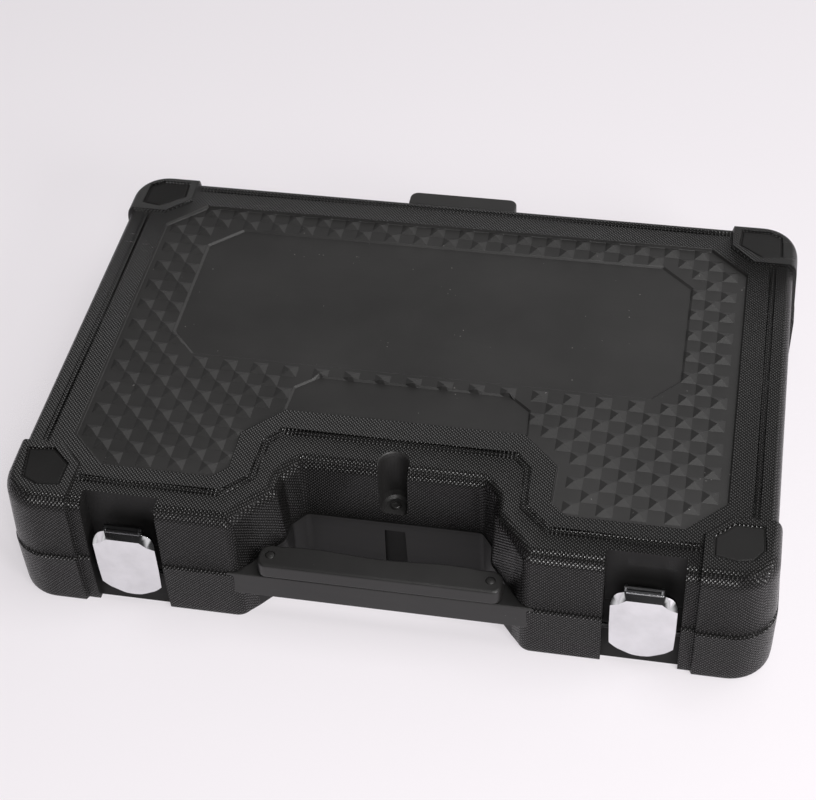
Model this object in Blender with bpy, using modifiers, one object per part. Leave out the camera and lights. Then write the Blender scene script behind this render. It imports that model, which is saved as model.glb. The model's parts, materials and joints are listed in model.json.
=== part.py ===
"""Socket and ratchet set in a moulded carry case.

Metres, +Z up. The origin is under the middle of the case, on the surface it lies on. The handle and
the latches face -Y and the lid's hinge runs along X at the +Y side. The lid is shut at rest.
"""

import math

import bmesh
import bpy
from mathutils import Matrix, Vector

# Case plan, at the parting line
HALF_LENGTH = 0.191
FRONT_Y, BACK_Y = -0.133, 0.125
CORNER_RADIUS, CORNER_STEPS = 0.022, 4
GUARD_PROUD = 0.002  # how far the corner guards stand out of the walls
GUARD_X = 0.1545
GUARD_FRONT_Y, GUARD_BACK_Y = -0.094, 0.093
NOTCH = ((0.045, -0.089), (0.051, -0.097), (0.052, -0.108), (0.065, -0.124), (0.071, FRONT_Y))
LINER_NOTCH = ((0.045, -0.0765), (0.0535, -0.086), (0.054, -0.104), *NOTCH[3:])  # clear of the groove
RECESS_X = (0.110, 0.148)
RECESS_Y = -0.1214
RECESS_FOOT_Y = -0.129

# Case heights
PARTING_Z = 0.0348
LID_TOP_Z = 0.0725
GUARD_TOP_Z = 0.074
WALL = 0.0026
GAP = 0.0003
SEAM = 0.00015  # half of the gap between lid and base

# Lid hinge
HINGE_Y, HINGE_Z = 0.129, PARTING_Z
KNUCKLE_RADIUS, HINGE_PIN_RADIUS = 0.0036, 0.0015
KNUCKLE_LENGTH, HINGE_X = 0.016, 0.105
FOOT_HALF, FOOT_Y = 0.031, 0.135
FOOT_START = 0.008  # distance from the hinge axis to the near end of each rear foot
LID_FOOT_LENGTH, BASE_FOOT_LENGTH = 0.0257, 0.0218

# Handle
BAR_Z = (0.0202, 0.0346)
BAR_BACK_Y = -0.119
BAR_HALF, BAR_BACK_HALF = 0.0722, 0.0635
GRIP_HALF, GRIP_TOP_Z = 0.061, 0.0442
GRIP_FRONT_Y = -0.1328

# Latches
LATCH_X = 0.129
BASE_PIN = (-0.1275, 0.0225)  # y, z of the pin that the link swings on
TOP_PIN = (-0.1278, 0.0532)  # y, z of the pin between link and lever
LATCH_PIN_RADIUS = 0.0014
LINK_HALF, LINK_THICKNESS = 0.0075, 0.0014
LEVER_FACE_Y, SHEET = -0.133, 0.0012
EAR_IN, EAR_OUT = 0.0081, 0.0093
LEVER_HALF_PLAN = (  # x, z of the plate's right half
    (0.0, 0.0085),
    (0.0075, 0.0112),
    (0.0160, 0.0168),
    (0.0168, 0.0445),
    (0.0148, 0.0500),
    (0.0095, 0.0548),
)

# Grooves in the middle of the notch
GROOVE_HALF, GROOVE_END_Y, GROOVE_FOOT_Z = 0.0075, -0.0755, 0.0415
BASE_GROOVE_HALF, BASE_GROOVE_END_Y, BASE_GROOVE_TOP_Z = 0.0055, -0.0873, 0.0290

# Tray and liner
TRAY_TOP_Z, TRAY_SKIN = 0.0336, 0.0022
TRAY_FLOOR_Z = 0.0058
POCKET_WALL = 0.0016
POCKET_ROOM = 0.0012
LINER_RIM_Z, LINER_CEILING_Z = 0.0362, 0.0530

# Tools
TURN_STEPS = 12
DRIVES = {"half": 0.0127, "quarter": 0.00635}

ASSEMBLY = "socket_set_in_case"


# Scene ------------------------------------------------------------------------------------------


def clear_scene():
    for obj in list(bpy.data.objects):
        bpy.data.objects.remove(obj, do_unlink=True)
    for name in (ASSEMBLY, "cutters"):
        collection = bpy.data.collections.new(name)
        bpy.context.scene.collection.children.link(collection)


def material(name, colour, metallic, roughness):
    made = bpy.data.materials.new(name)
    made.use_nodes = True
    shader = made.node_tree.nodes["Principled BSDF"]
    shader.inputs["Base Color"].default_value = (*colour, 1.0)
    shader.inputs["Metallic"].default_value = metallic
    shader.inputs["Roughness"].default_value = roughness
    return made


def place(name, mesh, finish, at=(0, 0, 0), turn=(0, 0, 0)):
    """Make the named part from a mesh that is given in its own frame."""
    mesh.materials.append(finish)
    part = bpy.data.objects.new(name, mesh)
    part.location = at
    part.rotation_euler = turn
    bpy.data.collections[ASSEMBLY].objects.link(part)
    return part


def combine(part, mesh, operation="DIFFERENCE"):
    """Cut the part with a mesh, or join the two. The mesh is in the part's own frame."""
    tool = bpy.data.objects.new(part.name + "_tool", mesh)
    tool.location = part.location
    tool.rotation_euler = part.rotation_euler
    tool.hide_render = True
    tool.display_type = "WIRE"
    bpy.data.collections["cutters"].objects.link(tool)
    modifier = part.modifiers.new("boolean", "BOOLEAN")
    modifier.operation = operation
    modifier.solver = "EXACT"
    modifier.object = tool


# Shapes -----------------------------------------------------------------------------------------


def finished(build):
    """Turn a bmesh into a mesh with its faces outwards."""
    bmesh.ops.recalc_face_normals(build, faces=build.faces)
    mesh = bpy.data.meshes.new("shape")
    build.to_mesh(mesh)
    build.free()
    return mesh


def box(low, high):
    build = bmesh.new()
    low, high = Vector(low), Vector(high)
    spread = Matrix.Diagonal((*(high - low), 1.0))
    bmesh.ops.create_cube(build, size=1.0, matrix=Matrix.Translation((low + high) / 2) @ spread)
    return finished(build)


def rod(start, end, radius, sides=16, end_radius=None, twist=0.0):
    """A cylinder or cone between two points, or a prism when it has few sides."""
    build = bmesh.new()
    start, end = Vector(start), Vector(end)
    along = end - start
    aim = along.to_track_quat("Z", "Y").to_matrix().to_4x4() @ Matrix.Rotation(twist, 4, "Z")
    bmesh.ops.create_cone(
        build,
        cap_ends=True,
        segments=sides,
        radius1=radius,
        radius2=radius if end_radius is None else end_radius,
        depth=along.length,
        matrix=Matrix.Translation((start + end) / 2) @ aim,
    )
    return finished(build)


def square_rod(start, end, width):
    return rod(start, end, width / math.sqrt(2), sides=4, twist=math.pi / 4)


def hex_rod(start, end, across_flats):
    return rod(start, end, across_flats / math.sqrt(3), sides=6)


def prism(points, low, high, axis="z"):
    """Extrude a closed outline between two heights along an axis."""
    lift = {
        "x": lambda u, v, w: (w, u, v),
        "y": lambda u, v, w: (u, w, v),
        "z": lambda u, v, w: (u, v, w),
    }[axis]
    build = bmesh.new()
    face = build.faces.new([build.verts.new(lift(u, v, low)) for u, v in points])
    top = bmesh.ops.extrude_face_region(build, geom=[face])
    rise = Vector(lift(0, 0, high - low))
    moved = [item for item in top["geom"] if isinstance(item, bmesh.types.BMVert)]
    bmesh.ops.translate(build, verts=moved, vec=rise)
    return finished(build)


def loft(rings, at=(0, 0, 0)):
    """Skin a stack of rings that have the same number of points, and close both ends."""
    build = bmesh.new()
    at = Vector(at)
    loops = [[build.verts.new(Vector(point) - at) for point in ring] for ring in rings]
    count = len(loops[0])
    for lower, upper in zip(loops, loops[1:]):
        for i in range(count):
            j = (i + 1) % count
            build.faces.new((lower[i], lower[j], upper[j], upper[i]))
    build.faces.new(loops[0])
    build.faces.new(loops[-1])
    return finished(build)


def turned(name, profile, finish, at, turn=(0, 0, 0), steps=TURN_STEPS):
    """Spin a profile of (radius, height) points, listed from the top down, about the part's Z."""
    build = bmesh.new()
    points = [build.verts.new((radius, 0.0, height)) for radius, height in profile]
    for first, second in zip(points, points[1:]):
        build.edges.new((first, second))
    mesh = bpy.data.meshes.new(name)
    build.to_mesh(mesh)
    build.free()
    part = place(name, mesh, finish, at, turn)
    screw = part.modifiers.new("turn", "SCREW")
    screw.axis = "Z"
    screw.steps = steps
    screw.render_steps = steps
    screw.use_merge_vertices = True
    screw.merge_threshold = 0.00001
    return part


# Case outline -----------------------------------------------------------------------------------


def half_outline(recess_y, notch):
    """Corners (x, y, radius, arc steps) of the right half, from the notch round to the back."""
    side_x, guard_x = HALF_LENGTH, HALF_LENGTH + GUARD_PROUD
    front, back = FRONT_Y - GUARD_PROUD, BACK_Y + GUARD_PROUD
    corners = [(x, y, 0, 0) for x, y in notch]
    corners += [
        (RECESS_X[0], FRONT_Y, 0, 0),
        (RECESS_X[0], recess_y, 0, 0),
        (RECESS_X[1], recess_y, 0, 0),
        (RECESS_X[1], FRONT_Y, 0, 0),
        (GUARD_X - 0.0005, FRONT_Y, 0, 0),
        (GUARD_X + 0.0005, front, 0, 0),
        (guard_x, front, CORNER_RADIUS, CORNER_STEPS),
        (guard_x, GUARD_FRONT_Y, 0, 0),
        (side_x, GUARD_FRONT_Y + 0.001, 0, 0),
        (side_x, GUARD_BACK_Y - 0.001, 0, 0),
        (guard_x, GUARD_BACK_Y, 0, 0),
        (guard_x, back, CORNER_RADIUS, CORNER_STEPS),
        (GUARD_X + 0.0005, back, 0, 0),
        (GUARD_X - 0.0005, BACK_Y, 0, 0),
    ]
    return corners


def case_outline(inset, z, recess_y=RECESS_Y, notch=NOTCH):
    """The case's plan, drawn in by an inset, as points at one height."""
    right = half_outline(recess_y, notch)
    corners = right + [(-x, y, radius, steps) for x, y, radius, steps in reversed(right)]
    ring = []
    for index, (x, y, radius, steps) in enumerate(corners):
        here = Vector((x, y))
        before = Vector(corners[index - 1][:2])
        after = Vector(corners[(index + 1) % len(corners)][:2])
        arriving, leaving = (here - before).normalized(), (after - here).normalized()
        ring += rounded_corner(here, arriving, leaving, inset, radius, steps)
    return [(point.x, point.y, z) for point in ring]


def rounded_corner(here, arriving, leaving, inset, radius, steps):
    """Points of one corner after each of its edges has moved in by the inset."""
    bend = math.atan2(arriving.cross(leaving), arriving.dot(leaving))
    left_in, left_out = Vector((-arriving.y, arriving.x)), Vector((-leaving.y, leaving.x))
    corner = here + (left_in + left_out) * inset / (1 + left_in.dot(left_out))
    if not steps:
        return [corner]
    size = max(radius - math.copysign(inset, bend), 0.0004)
    reach = size * abs(math.tan(bend / 2))
    start, centre_side = corner - arriving * reach, math.copysign(1, bend)
    centre = start + left_in * size * centre_side
    spoke = start - centre
    turns = [Matrix.Rotation(bend * step / steps, 2) for step in range(steps + 1)]
    return [centre + turn @ spoke for turn in turns]


def recess_at(z, inset):
    """Where the latch recess's wall is in the base, which leans out towards its foot."""
    depth = (PARTING_Z - z) / PARTING_Z
    return RECESS_Y + (RECESS_FOOT_Y - RECESS_Y) * depth - inset


# Case shells ------------------------------------------------------------------------------------


def base_shell(finish):
    rim = PARTING_Z - SEAM
    outer = ((0.0, rim), (0.0, rim - 0.006), (0.0012, 0.0080), (0.0026, 0.0022), (0.0050, 0.0))
    inner = ((0.0076, WALL + 0.0002), (0.0050, 0.0062), (WALL, rim))
    rings = [case_outline(inset, z, recess_at(z, inset - WALL)) for inset, z in inner]
    rings += [case_outline(inset, z, recess_at(z, inset)) for inset, z in outer]
    shell = place("base_shell", loft(rings), finish)
    combine(shell, handle_bar(), "UNION")
    combine(shell, rear_foot(HINGE_Z - FOOT_START - BASE_FOOT_LENGTH, HINGE_Z - FOOT_START), "UNION")
    for side in (-1, 1):
        for mesh in hinge_knuckles(side, (-1, 1), -1):
            combine(shell, mesh, "UNION")
        combine(shell, hinge_bore(side))
        ends = [(side * LATCH_X + reach, *BASE_PIN) for reach in (-0.0221, 0.0221)]
        combine(shell, rod(*ends, LATCH_PIN_RADIUS + 0.0003, sides=12))
    low = (-BASE_GROOVE_HALF, NOTCH[0][1] - 0.005, -0.005)
    combine(shell, box(low, (BASE_GROOVE_HALF, BASE_GROOVE_END_Y, BASE_GROOVE_TOP_Z)))


def handle_bar():
    """The bar that joins the two front lobes; its ends run into the lobes' walls."""
    front = FRONT_Y + 0.0004
    plan = ((BAR_HALF, front), (BAR_BACK_HALF, BAR_BACK_Y), (-BAR_BACK_HALF, BAR_BACK_Y), (-BAR_HALF, front))
    return prism(plan, *BAR_Z)


def rear_foot(low, high):
    """A pad with rounded ends behind the back wall. The lid's and the base's meet when it opens."""
    step = 0.004
    plan = (
        (FOOT_HALF, BACK_Y - 0.0015),
        (FOOT_HALF, FOOT_Y - step),
        (FOOT_HALF - step, FOOT_Y),
        (step - FOOT_HALF, FOOT_Y),
        (-FOOT_HALF, FOOT_Y - step),
        (-FOOT_HALF, BACK_Y - 0.0015),
    )
    return prism(plan, low, high)


def hinge_knuckles(side, places, upright):
    """Knuckles of one hinge: places count them from the middle one, upright is 1 for the lid."""
    made = []
    pitch = KNUCKLE_LENGTH + GAP
    for place_index in places:
        middle = side * HINGE_X + place_index * pitch
        low, high = middle - KNUCKLE_LENGTH / 2, middle + KNUCKLE_LENGTH / 2
        ends = [(x, HINGE_Y, HINGE_Z) for x in (low, high)]
        made.append(rod(*ends, KNUCKLE_RADIUS, sides=16))
        heights = sorted((HINGE_Z + upright * 0.0004, HINGE_Z + upright * 0.0034))
        made.append(box((low, BACK_Y - 0.0014, heights[0]), (high, HINGE_Y, heights[1])))
    return made


def hinge_bore(side):
    reach = 1.7 * KNUCKLE_LENGTH
    ends = [(side * HINGE_X + offset, HINGE_Y, HINGE_Z) for offset in (-reach, reach)]
    return rod(*ends, HINGE_PIN_RADIUS + 0.00015, sides=12)


def hinge_pins(finish):
    reach = 1.5 * KNUCKLE_LENGTH
    for side, word in ((-1, "left"), (1, "right")):
        mesh = rod((-reach, 0, 0), (reach, 0, 0), HINGE_PIN_RADIUS, sides=12)
        place(f"hinge_pin_{word}", mesh, finish, (side * HINGE_X, HINGE_Y, HINGE_Z))


def lid_shell(finish):
    rim = PARTING_Z + SEAM
    outer = ((0.0006, rim), (0.0020, 0.0665), (0.0038, 0.0707), (0.0080, LID_TOP_Z))
    inner = ((0.0105, LID_TOP_Z - 0.0052), (0.0050, 0.0650), (WALL + 0.0006, rim))
    axis = (0.0, HINGE_Y, HINGE_Z)
    rings = [case_outline(inset, z, RECESS_Y - inset + WALL, LINER_NOTCH) for inset, z in inner]
    rings += [case_outline(inset, z, RECESS_Y - inset) for inset, z in outer]
    shell = place("lid_shell", loft(rings, axis), finish, axis)
    joined = [rear_foot(HINGE_Z + FOOT_START, HINGE_Z + FOOT_START + LID_FOOT_LENGTH)]
    joined += [corner_guard(sx, sy) for sx in (-1, 1) for sy in (-1, 1)]
    joined += [keeper_rib(side) for side in (-1, 1)]
    for side in (-1, 1):
        joined += hinge_knuckles(side, (0,), 1)
    for mesh in joined:
        combine(shell, moved(mesh, axis), "UNION")
    for side in (-1, 1):
        combine(shell, moved(hinge_bore(side), axis))
    combine(shell, moved(prism(field_outline(), LID_TOP_Z - 0.0018, LID_TOP_Z + 0.01), axis))
    combine(shell, moved(prism(plate_outline(), LID_TOP_Z - 0.0026, LID_TOP_Z + 0.005), axis))
    combine(shell, moved(prism(groove_outline(), GROOVE_FOOT_Z, LID_TOP_Z + 0.005), axis))


def moved(mesh, axis):
    """Take a mesh in world coordinates into a frame whose origin is on the axis."""
    mesh.transform(Matrix.Translation(-Vector(axis)))
    return mesh


def keeper_rib(side):
    """The rib on the lid that the lever's ears close over."""
    middle = side * LATCH_X
    return box((middle - 0.014, -0.1242, 0.0450), (middle + 0.014, RECESS_Y + 0.001, 0.0490))


def corner_guard(side, end):
    """The raised top of one corner guard."""
    inner_x = GUARD_X + 0.001
    near, far = (0.089, 0.1255) if end < 0 else (0.094, 0.1175)
    plan = (
        (inner_x, end * far),
        (inner_x, end * (near + 0.0125)),
        (inner_x + 0.0125, end * near),
        (0.1835, end * near),
        (0.1835, end * (far - 0.0125)),
        (0.1750, end * far),
    )
    return prism([(side * x, y) for x, y in plan], LID_TOP_Z - 0.0015, GUARD_TOP_Z)


def field_outline():
    """The recessed field of the lid, which runs round the notch."""
    right = (
        (0.062, -0.0535),
        (0.080, -0.072),
        (0.080, -0.096),
        (0.088, -0.104),
        (0.145, -0.104),
        (0.1648, -0.0845),
        (0.1648, 0.0832),
        (0.1443, 0.102),
    )
    return list(right) + [(-x, y) for x, y in reversed(right)]


def plate_outline():
    """The plain eight-sided plate in the middle of the field."""
    right = ((0.121, -0.0167), (0.135, -0.0017), (0.135, 0.0694), (0.1184, 0.0845))
    return list(right) + [(-x, y) for x, y in reversed(right)]


def groove_outline():
    """The upright groove in the notch's wall: open to the front, with a half-round end."""
    centre_y = GROOVE_END_Y - GROOVE_HALF
    turns = [math.pi * step / 8 for step in range(9)]
    arc = [(GROOVE_HALF * math.cos(turn), centre_y + GROOVE_HALF * math.sin(turn)) for turn in turns]
    mouth_y = NOTCH[0][1] - 0.006
    return [(GROOVE_HALF, mouth_y), *arc, (-GROOVE_HALF, mouth_y)]


def lid_liner(finish):
    axis = (0.0, HINGE_Y, HINGE_Z)
    rings = [
        case_outline(inset, z, notch=LINER_NOTCH)
        for inset, z in (
            (0.0095, LINER_CEILING_Z),
            (0.0080, LINER_RIM_Z),
            (WALL + 0.0026, LINER_RIM_Z),
            (WALL + 0.0026, LINER_RIM_Z + 0.002),
            (0.0060, LINER_RIM_Z + 0.002),
            (0.0075, LINER_CEILING_Z + 0.002),
        )
    ]
    place("lid_liner", loft(rings, axis), finish, axis)


def handle_grip(finish, screw_finish):
    """The raised hand grip on the bar, and the screw at each of its ends."""
    base_z, round_off = BAR_Z[1] + GAP, 0.0045
    x, front, back = GRIP_HALF, GRIP_FRONT_Y, BAR_BACK_Y
    plan = (
        (x - round_off, front),
        (x, front + round_off),
        (x, back - round_off),
        (x - round_off, back),
        (round_off - x, back),
        (-x, back - round_off),
        (-x, front + round_off),
        (round_off - x, front),
    )
    grip = place("handle_grip", prism(plan, base_z, GRIP_TOP_Z), finish)
    middle_y = (front + back) / 2
    for side, word in ((-1, "left"), (1, "right")):
        spot = side * (x - 0.006)
        combine(grip, rod((spot, middle_y, 0.0395), (spot, middle_y, 0.050), 0.0027, 12))
        screw = rod((0, 0, 0.0), (0, 0, 0.003), 0.0024, 12)
        place(f"grip_screw_{word}", screw, screw_finish, (spot, middle_y, 0.0398))


# Latches ----------------------------------------------------------------------------------------


def latch(side, word, chrome, steel):
    x = side * LATCH_X
    pin_y, pin_z = BASE_PIN
    top_y, top_z = TOP_PIN
    pin = rod((-0.0215, 0, 0), (0.0215, 0, 0), LATCH_PIN_RADIUS, 12)
    place(f"latch_base_pin_{word}", pin, steel, (x, pin_y, pin_z))
    latch_link(f"latch_link_{word}", steel, x)
    pin = rod((-0.0098, 0, 0), (0.0098, 0, 0), LATCH_PIN_RADIUS, 12)
    place(f"latch_lever_pin_{word}", pin, steel, (x, top_y, top_z))
    latch_lever(f"latch_lever_{word}", chrome, x)


def latch_link(name, finish, x):
    """The strap behind the lever, with a rolled knuckle on each pin."""
    rise, lean = TOP_PIN[1] - BASE_PIN[1], TOP_PIN[0] - BASE_PIN[0]
    half, knuckle = LINK_THICKNESS / 2, 0.0027
    side_view = ((-half, 0), (half, 0), (lean + half, rise), (lean - half, rise))
    strap = prism(side_view, -LINK_HALF, LINK_HALF, "x")
    link = place(name, strap, finish, (x, *BASE_PIN))
    combine(link, rod((-0.012, 0, 0), (0.012, 0, 0), knuckle, 14), "UNION")
    combine(link, rod((-LINK_HALF, lean, rise), (LINK_HALF, lean, rise), knuckle, 14), "UNION")
    for y, z in ((0, 0), (lean, rise)):
        combine(link, rod((-0.014, y, z), (0.014, y, z), LATCH_PIN_RADIUS + 0.0001, 12))


def latch_lever(name, finish, x):
    """The plate: a flat top, curved shoulders and a bowed foot, with two ears on the top pin."""
    top_y, top_z = TOP_PIN
    plan = list(LEVER_HALF_PLAN) + [(-u, v) for u, v in reversed(LEVER_HALF_PLAN[1:])]
    plan = [(u, v - top_z) for u, v in plan]
    face = LEVER_FACE_Y - top_y
    lever = place(name, prism(plan, face, face + SHEET, "y"), finish, (x, top_y, top_z))
    joined_y = face + SHEET / 2
    side_view = (
        (joined_y, -0.0120),
        (0.0, -0.0120),
        (0.0032, -0.0090),
        (0.0032, 0.0020),
        (0.0, 0.0028),
        (-0.0026, 0.0018),
        (joined_y, -0.0030),
    )
    for side in (-1, 1):
        low, high = sorted((side * EAR_IN, side * EAR_OUT))
        combine(lever, prism(side_view, low, high, "x"), "UNION")
    combine(lever, rod((-0.012, 0, 0), (0.012, 0, 0), LATCH_PIN_RADIUS + 0.0001, 12))


# Tools ------------------------------------------------------------------------------------------
# Each tool maker adds the pockets that the tool needs: boxes (low x, high x, low y, high y, floor z)
# and round ones (x, y, radius, floor z).

BOX_POCKETS, ROUND_POCKETS = [], []
ALONG_X = (0, math.pi / 2, 0)


def pocket_along_x(start_x, end_x, y, radius, floor_z):
    room = radius + POCKET_ROOM
    BOX_POCKETS.append((start_x - POCKET_ROOM, end_x + POCKET_ROOM, y - room, y + room, floor_z))


def standing_socket(name, drive, size, length, drive_radius, nose_radius, at, finish):
    """A socket on its drive end: a six-sided bore above, and a square one below that meets it."""
    x, y = at
    chamfer, neck = 0.0008, length * 0.45
    profile = [(0, length), (nose_radius - chamfer, length), (nose_radius, length - chamfer)]
    if drive_radius - nose_radius > 0.0005:
        profile += [(nose_radius, neck), (drive_radius, neck - (drive_radius - nose_radius))]
    profile += [(drive_radius, chamfer), (drive_radius - chamfer, 0), (0, 0)]
    floor = TRAY_FLOOR_Z + (0.0022 if drive == "half" else 0.0120)
    part = turned(name, profile, finish, (x, y, floor + GAP))
    bore_floor = length * 0.42
    combine(part, hex_rod((0, 0, bore_floor), (0, 0, length + 0.01), size + 0.0002))
    combine(part, square_rod((0, 0, -0.01), (0, 0, bore_floor + 0.0004), DRIVES[drive] + 0.0002))
    ROUND_POCKETS.append((x, y, drive_radius + POCKET_ROOM, floor))


def lying_socket(name, size, length, radius, at, finish):
    """A long spark plug socket that lies along X with its mouth towards +X."""
    x, y = at
    chamfer, floor = 0.0008, TRAY_FLOOR_Z + 0.006
    profile = [(0, length), (radius - chamfer, length), (radius, length - chamfer)]
    profile += [(radius, chamfer), (radius - chamfer, 0), (0, 0)]
    part = turned(name, profile, finish, (x, y, floor + GAP + radius), ALONG_X)
    bore_floor = 0.016
    combine(part, hex_rod((0, 0, bore_floor), (0, 0, length + 0.01), size))
    combine(part, square_rod((0, 0, -0.01), (0, 0, bore_floor + 0.0004), DRIVES["half"] + 0.0002))
    pocket_along_x(x, x + length, y, radius, floor)


def extension_bar(name, drive, length, start_x, y, finish):
    """A bar along X: a socket end at -X, a thin shank and a square end at +X."""
    width = DRIVES[drive]
    head, shank = width * 0.86, width * 0.45
    head_length, square_length = width * 1.7, width * 1.05
    shank_end = length - square_length
    profile = [
        (0, shank_end + width * 0.1),
        (width * 0.62, shank_end + width * 0.1),
        (width * 0.62, shank_end - width * 0.8),
        (shank, shank_end - width * 1.1),
        (shank, head_length + width * 0.3),
        (head, head_length),
        (head, 0),
        (0, 0),
    ]
    floor = TRAY_FLOOR_Z + 0.008
    axis_z = floor + GAP + head
    part = turned(name, profile, finish, (start_x, y, axis_z), ALONG_X)
    combine(part, square_rod((0, 0, shank_end - 0.001), (0, 0, length), width), "UNION")
    combine(part, square_rod((0, 0, -0.01), (0, 0, width * 1.15), width + 0.0002))
    pocket_along_x(start_x, start_x + length, y, head, floor)


def ratchet(word, drive, length, head_x, y, chrome, rubber, steel):
    """A ratchet that lies along X, head at -X, with its selector up and its square end down."""
    width = DRIVES[drive]
    scale = (width / DRIVES["half"]) ** 0.6
    head_radius, thickness = 0.0175 * scale, 0.0165 * scale
    shaft, grip_radius = 0.0068 * scale, 0.0138 * scale
    grip_length = length * 0.42
    grip_start = length - head_radius - grip_length
    drive_radius = 0.0098 * scale
    low = TRAY_FLOOR_Z + 0.0024 + width * 1.05
    axis = (head_x, y, low)
    head = rod((0, 0, 0), (0, 0, thickness), head_radius, 20)
    body = place(f"{word}_ratchet_body", head, chrome, axis)
    middle = thickness / 2
    shaft_ends = (0, 0, middle), (grip_start + grip_length * 0.6, 0, middle)
    combine(body, rod(*shaft_ends, shaft * 1.15, 12, shaft), "UNION")
    combine(body, rod((0, 0, -0.01), (0, 0, thickness + 0.01), drive_radius + 0.0004, 16))
    grip_profile = [
        (0, grip_length),
        (grip_radius * 0.72, grip_length),
        (grip_radius, grip_length - grip_radius * 0.5),
        (grip_radius * 0.84, grip_length * 0.5),
        (grip_radius * 0.94, grip_length * 0.18),
        (grip_radius * 0.62, 0),
        (0, 0),
    ]
    grip_at = (head_x + grip_start, y, low + middle)
    grip = turned(f"{word}_ratchet_grip", grip_profile, rubber, grip_at, ALONG_X)
    combine(grip, rod((0, 0, -0.01), (0, 0, grip_length * 0.62), shaft * 1.2 + GAP, 12))
    drum = rod((0, 0, 0.0004), (0, 0, thickness), drive_radius, 16)
    anvil = place(f"{word}_ratchet_drive", drum, steel, axis)
    combine(anvil, square_rod((0, 0, -width * 1.05), (0, 0, 0.002), width), "UNION")
    combine(anvil, rod((0, 0, thickness - 0.004), (0, 0, thickness + 0.01), 0.0032 * scale, 12))
    top = low + thickness
    button = rod((0, 0, -0.0015), (0, 0, 0.0038), 0.0029 * scale, 12)
    place(f"{word}_ratchet_button", button, steel, (head_x, y, top))
    selector(f"{word}_ratchet_selector", scale, steel, (head_x, y, top + GAP))
    ROUND_POCKETS.append((head_x, y, head_radius + POCKET_ROOM, low - GAP))
    ROUND_POCKETS.append((head_x, y, width * 0.75 + POCKET_ROOM, TRAY_FLOOR_Z + 0.0012))
    grip_floor = low + middle - grip_radius - GAP - 0.0006
    pocket_along_x(head_x, head_x + grip_start + grip_length, y, grip_radius, grip_floor)


def selector(name, scale, finish, at):
    """The reversing lever: a ring round the button, with a thumb tab towards the handle."""
    part = place(name, rod((0, 0, 0), (0, 0, 0.0026), 0.0088 * scale, 16), finish, at)
    tab_plan = ((0.002, -0.0036), (0.0145, -0.0022), (0.0145, 0.0022), (0.002, 0.0036))
    tab = prism(tab_plan, 0.0004, 0.0034)
    tab.transform(Matrix.Diagonal((scale, scale, 1.0, 1.0)))
    combine(part, tab, "UNION")
    combine(part, rod((0, 0, -0.01), (0, 0, 0.01), 0.0036 * scale, 12))


def universal_joint(start_x, y, chrome, steel):
    """A socket yoke at -X, a cross and a yoke with a square end at +X."""
    width, radius = DRIVES["half"], 0.0115
    floor = TRAY_FLOOR_Z + 0.005
    centre = (start_x + 0.032, y, floor + GAP + 0.0135)
    square_start, square_end, hole = 0.0185, 0.0325, 0.0023
    cheek_in, cheek_out, cheek_half = 0.0068, 0.0113, 0.0048
    barrel = rod((-0.032, 0, 0), (-0.0115, 0, 0), radius, 16)
    socket_yoke = place("universal_joint_socket_yoke", barrel, chrome, centre)
    for side in (-1, 1):
        low, high = sorted((side * cheek_in, side * cheek_out))
        cheek = box((-0.016, -cheek_half, low), (cheek_half, cheek_half, high))
        combine(socket_yoke, cheek, "UNION")
    combine(socket_yoke, square_rod((-0.040, 0, 0), (-0.018, 0, 0), width + 0.0002))
    combine(socket_yoke, rod((0, 0, -0.02), (0, 0, 0.02), hole, 12))
    middle = box((-0.0042, -0.0042, -0.0042), (0.0042, 0.0042, 0.0042))
    cross = place("universal_joint_cross", middle, steel, centre)
    combine(cross, rod((0, 0, -0.0110), (0, 0, 0.0110), hole - 0.0002, 12), "UNION")
    combine(cross, rod((0, -0.0110, 0), (0, 0.0110, 0), hole - 0.0002, 12), "UNION")
    collar = rod((0.0115, 0, 0), (square_start, 0, 0), radius, 16)
    square_yoke = place("universal_joint_square_yoke", collar, chrome, centre)
    for side in (-1, 1):
        low, high = sorted((side * cheek_in, side * cheek_out))
        cheek = box((-cheek_half, low, -cheek_half), (0.014, high, cheek_half))
        combine(square_yoke, cheek, "UNION")
    end = square_rod((square_start - 0.001, 0, 0), (square_end, 0, 0), width)
    combine(square_yoke, end, "UNION")
    combine(square_yoke, rod((0, -0.02, 0), (0, 0.02, 0), hole, 12))
    pocket_along_x(start_x, centre[0], y, radius + 0.002, floor - 0.0004)
    swing = radius + 0.005
    end_x = centre[0] + square_end + 0.004
    BOX_POCKETS.append((centre[0], end_x, y - swing, y + swing, TRAY_FLOOR_Z))


def sliding_bar(start_x, y, chrome):
    """A quarter drive bar along X with a sliding block, its square end down."""
    length, radius, width = 0.115, 0.0033, DRIVES["quarter"]
    axis_z, block_x = 0.0250, start_x + 0.057
    bar = rod((-0.057, 0, 0), (length - 0.057, 0, 0), radius, 12)
    place("sliding_bar_rod", bar, chrome, (block_x, y, axis_z))
    block_radius, block_low = 0.0062, -0.0068
    barrel = rod((0, 0, block_low), (0, 0, 0.0060), block_radius, 16)
    block = place("sliding_bar_block", barrel, chrome, (block_x, y, axis_z))
    combine(block, square_rod((0, 0, block_low - width), (0, 0, -0.006), width), "UNION")
    combine(block, rod((-0.02, 0, 0), (0.02, 0, 0), radius + 0.00008, 12))
    pocket_along_x(start_x, start_x + length, y, block_radius, axis_z + block_low - width - 0.0008)


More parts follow.
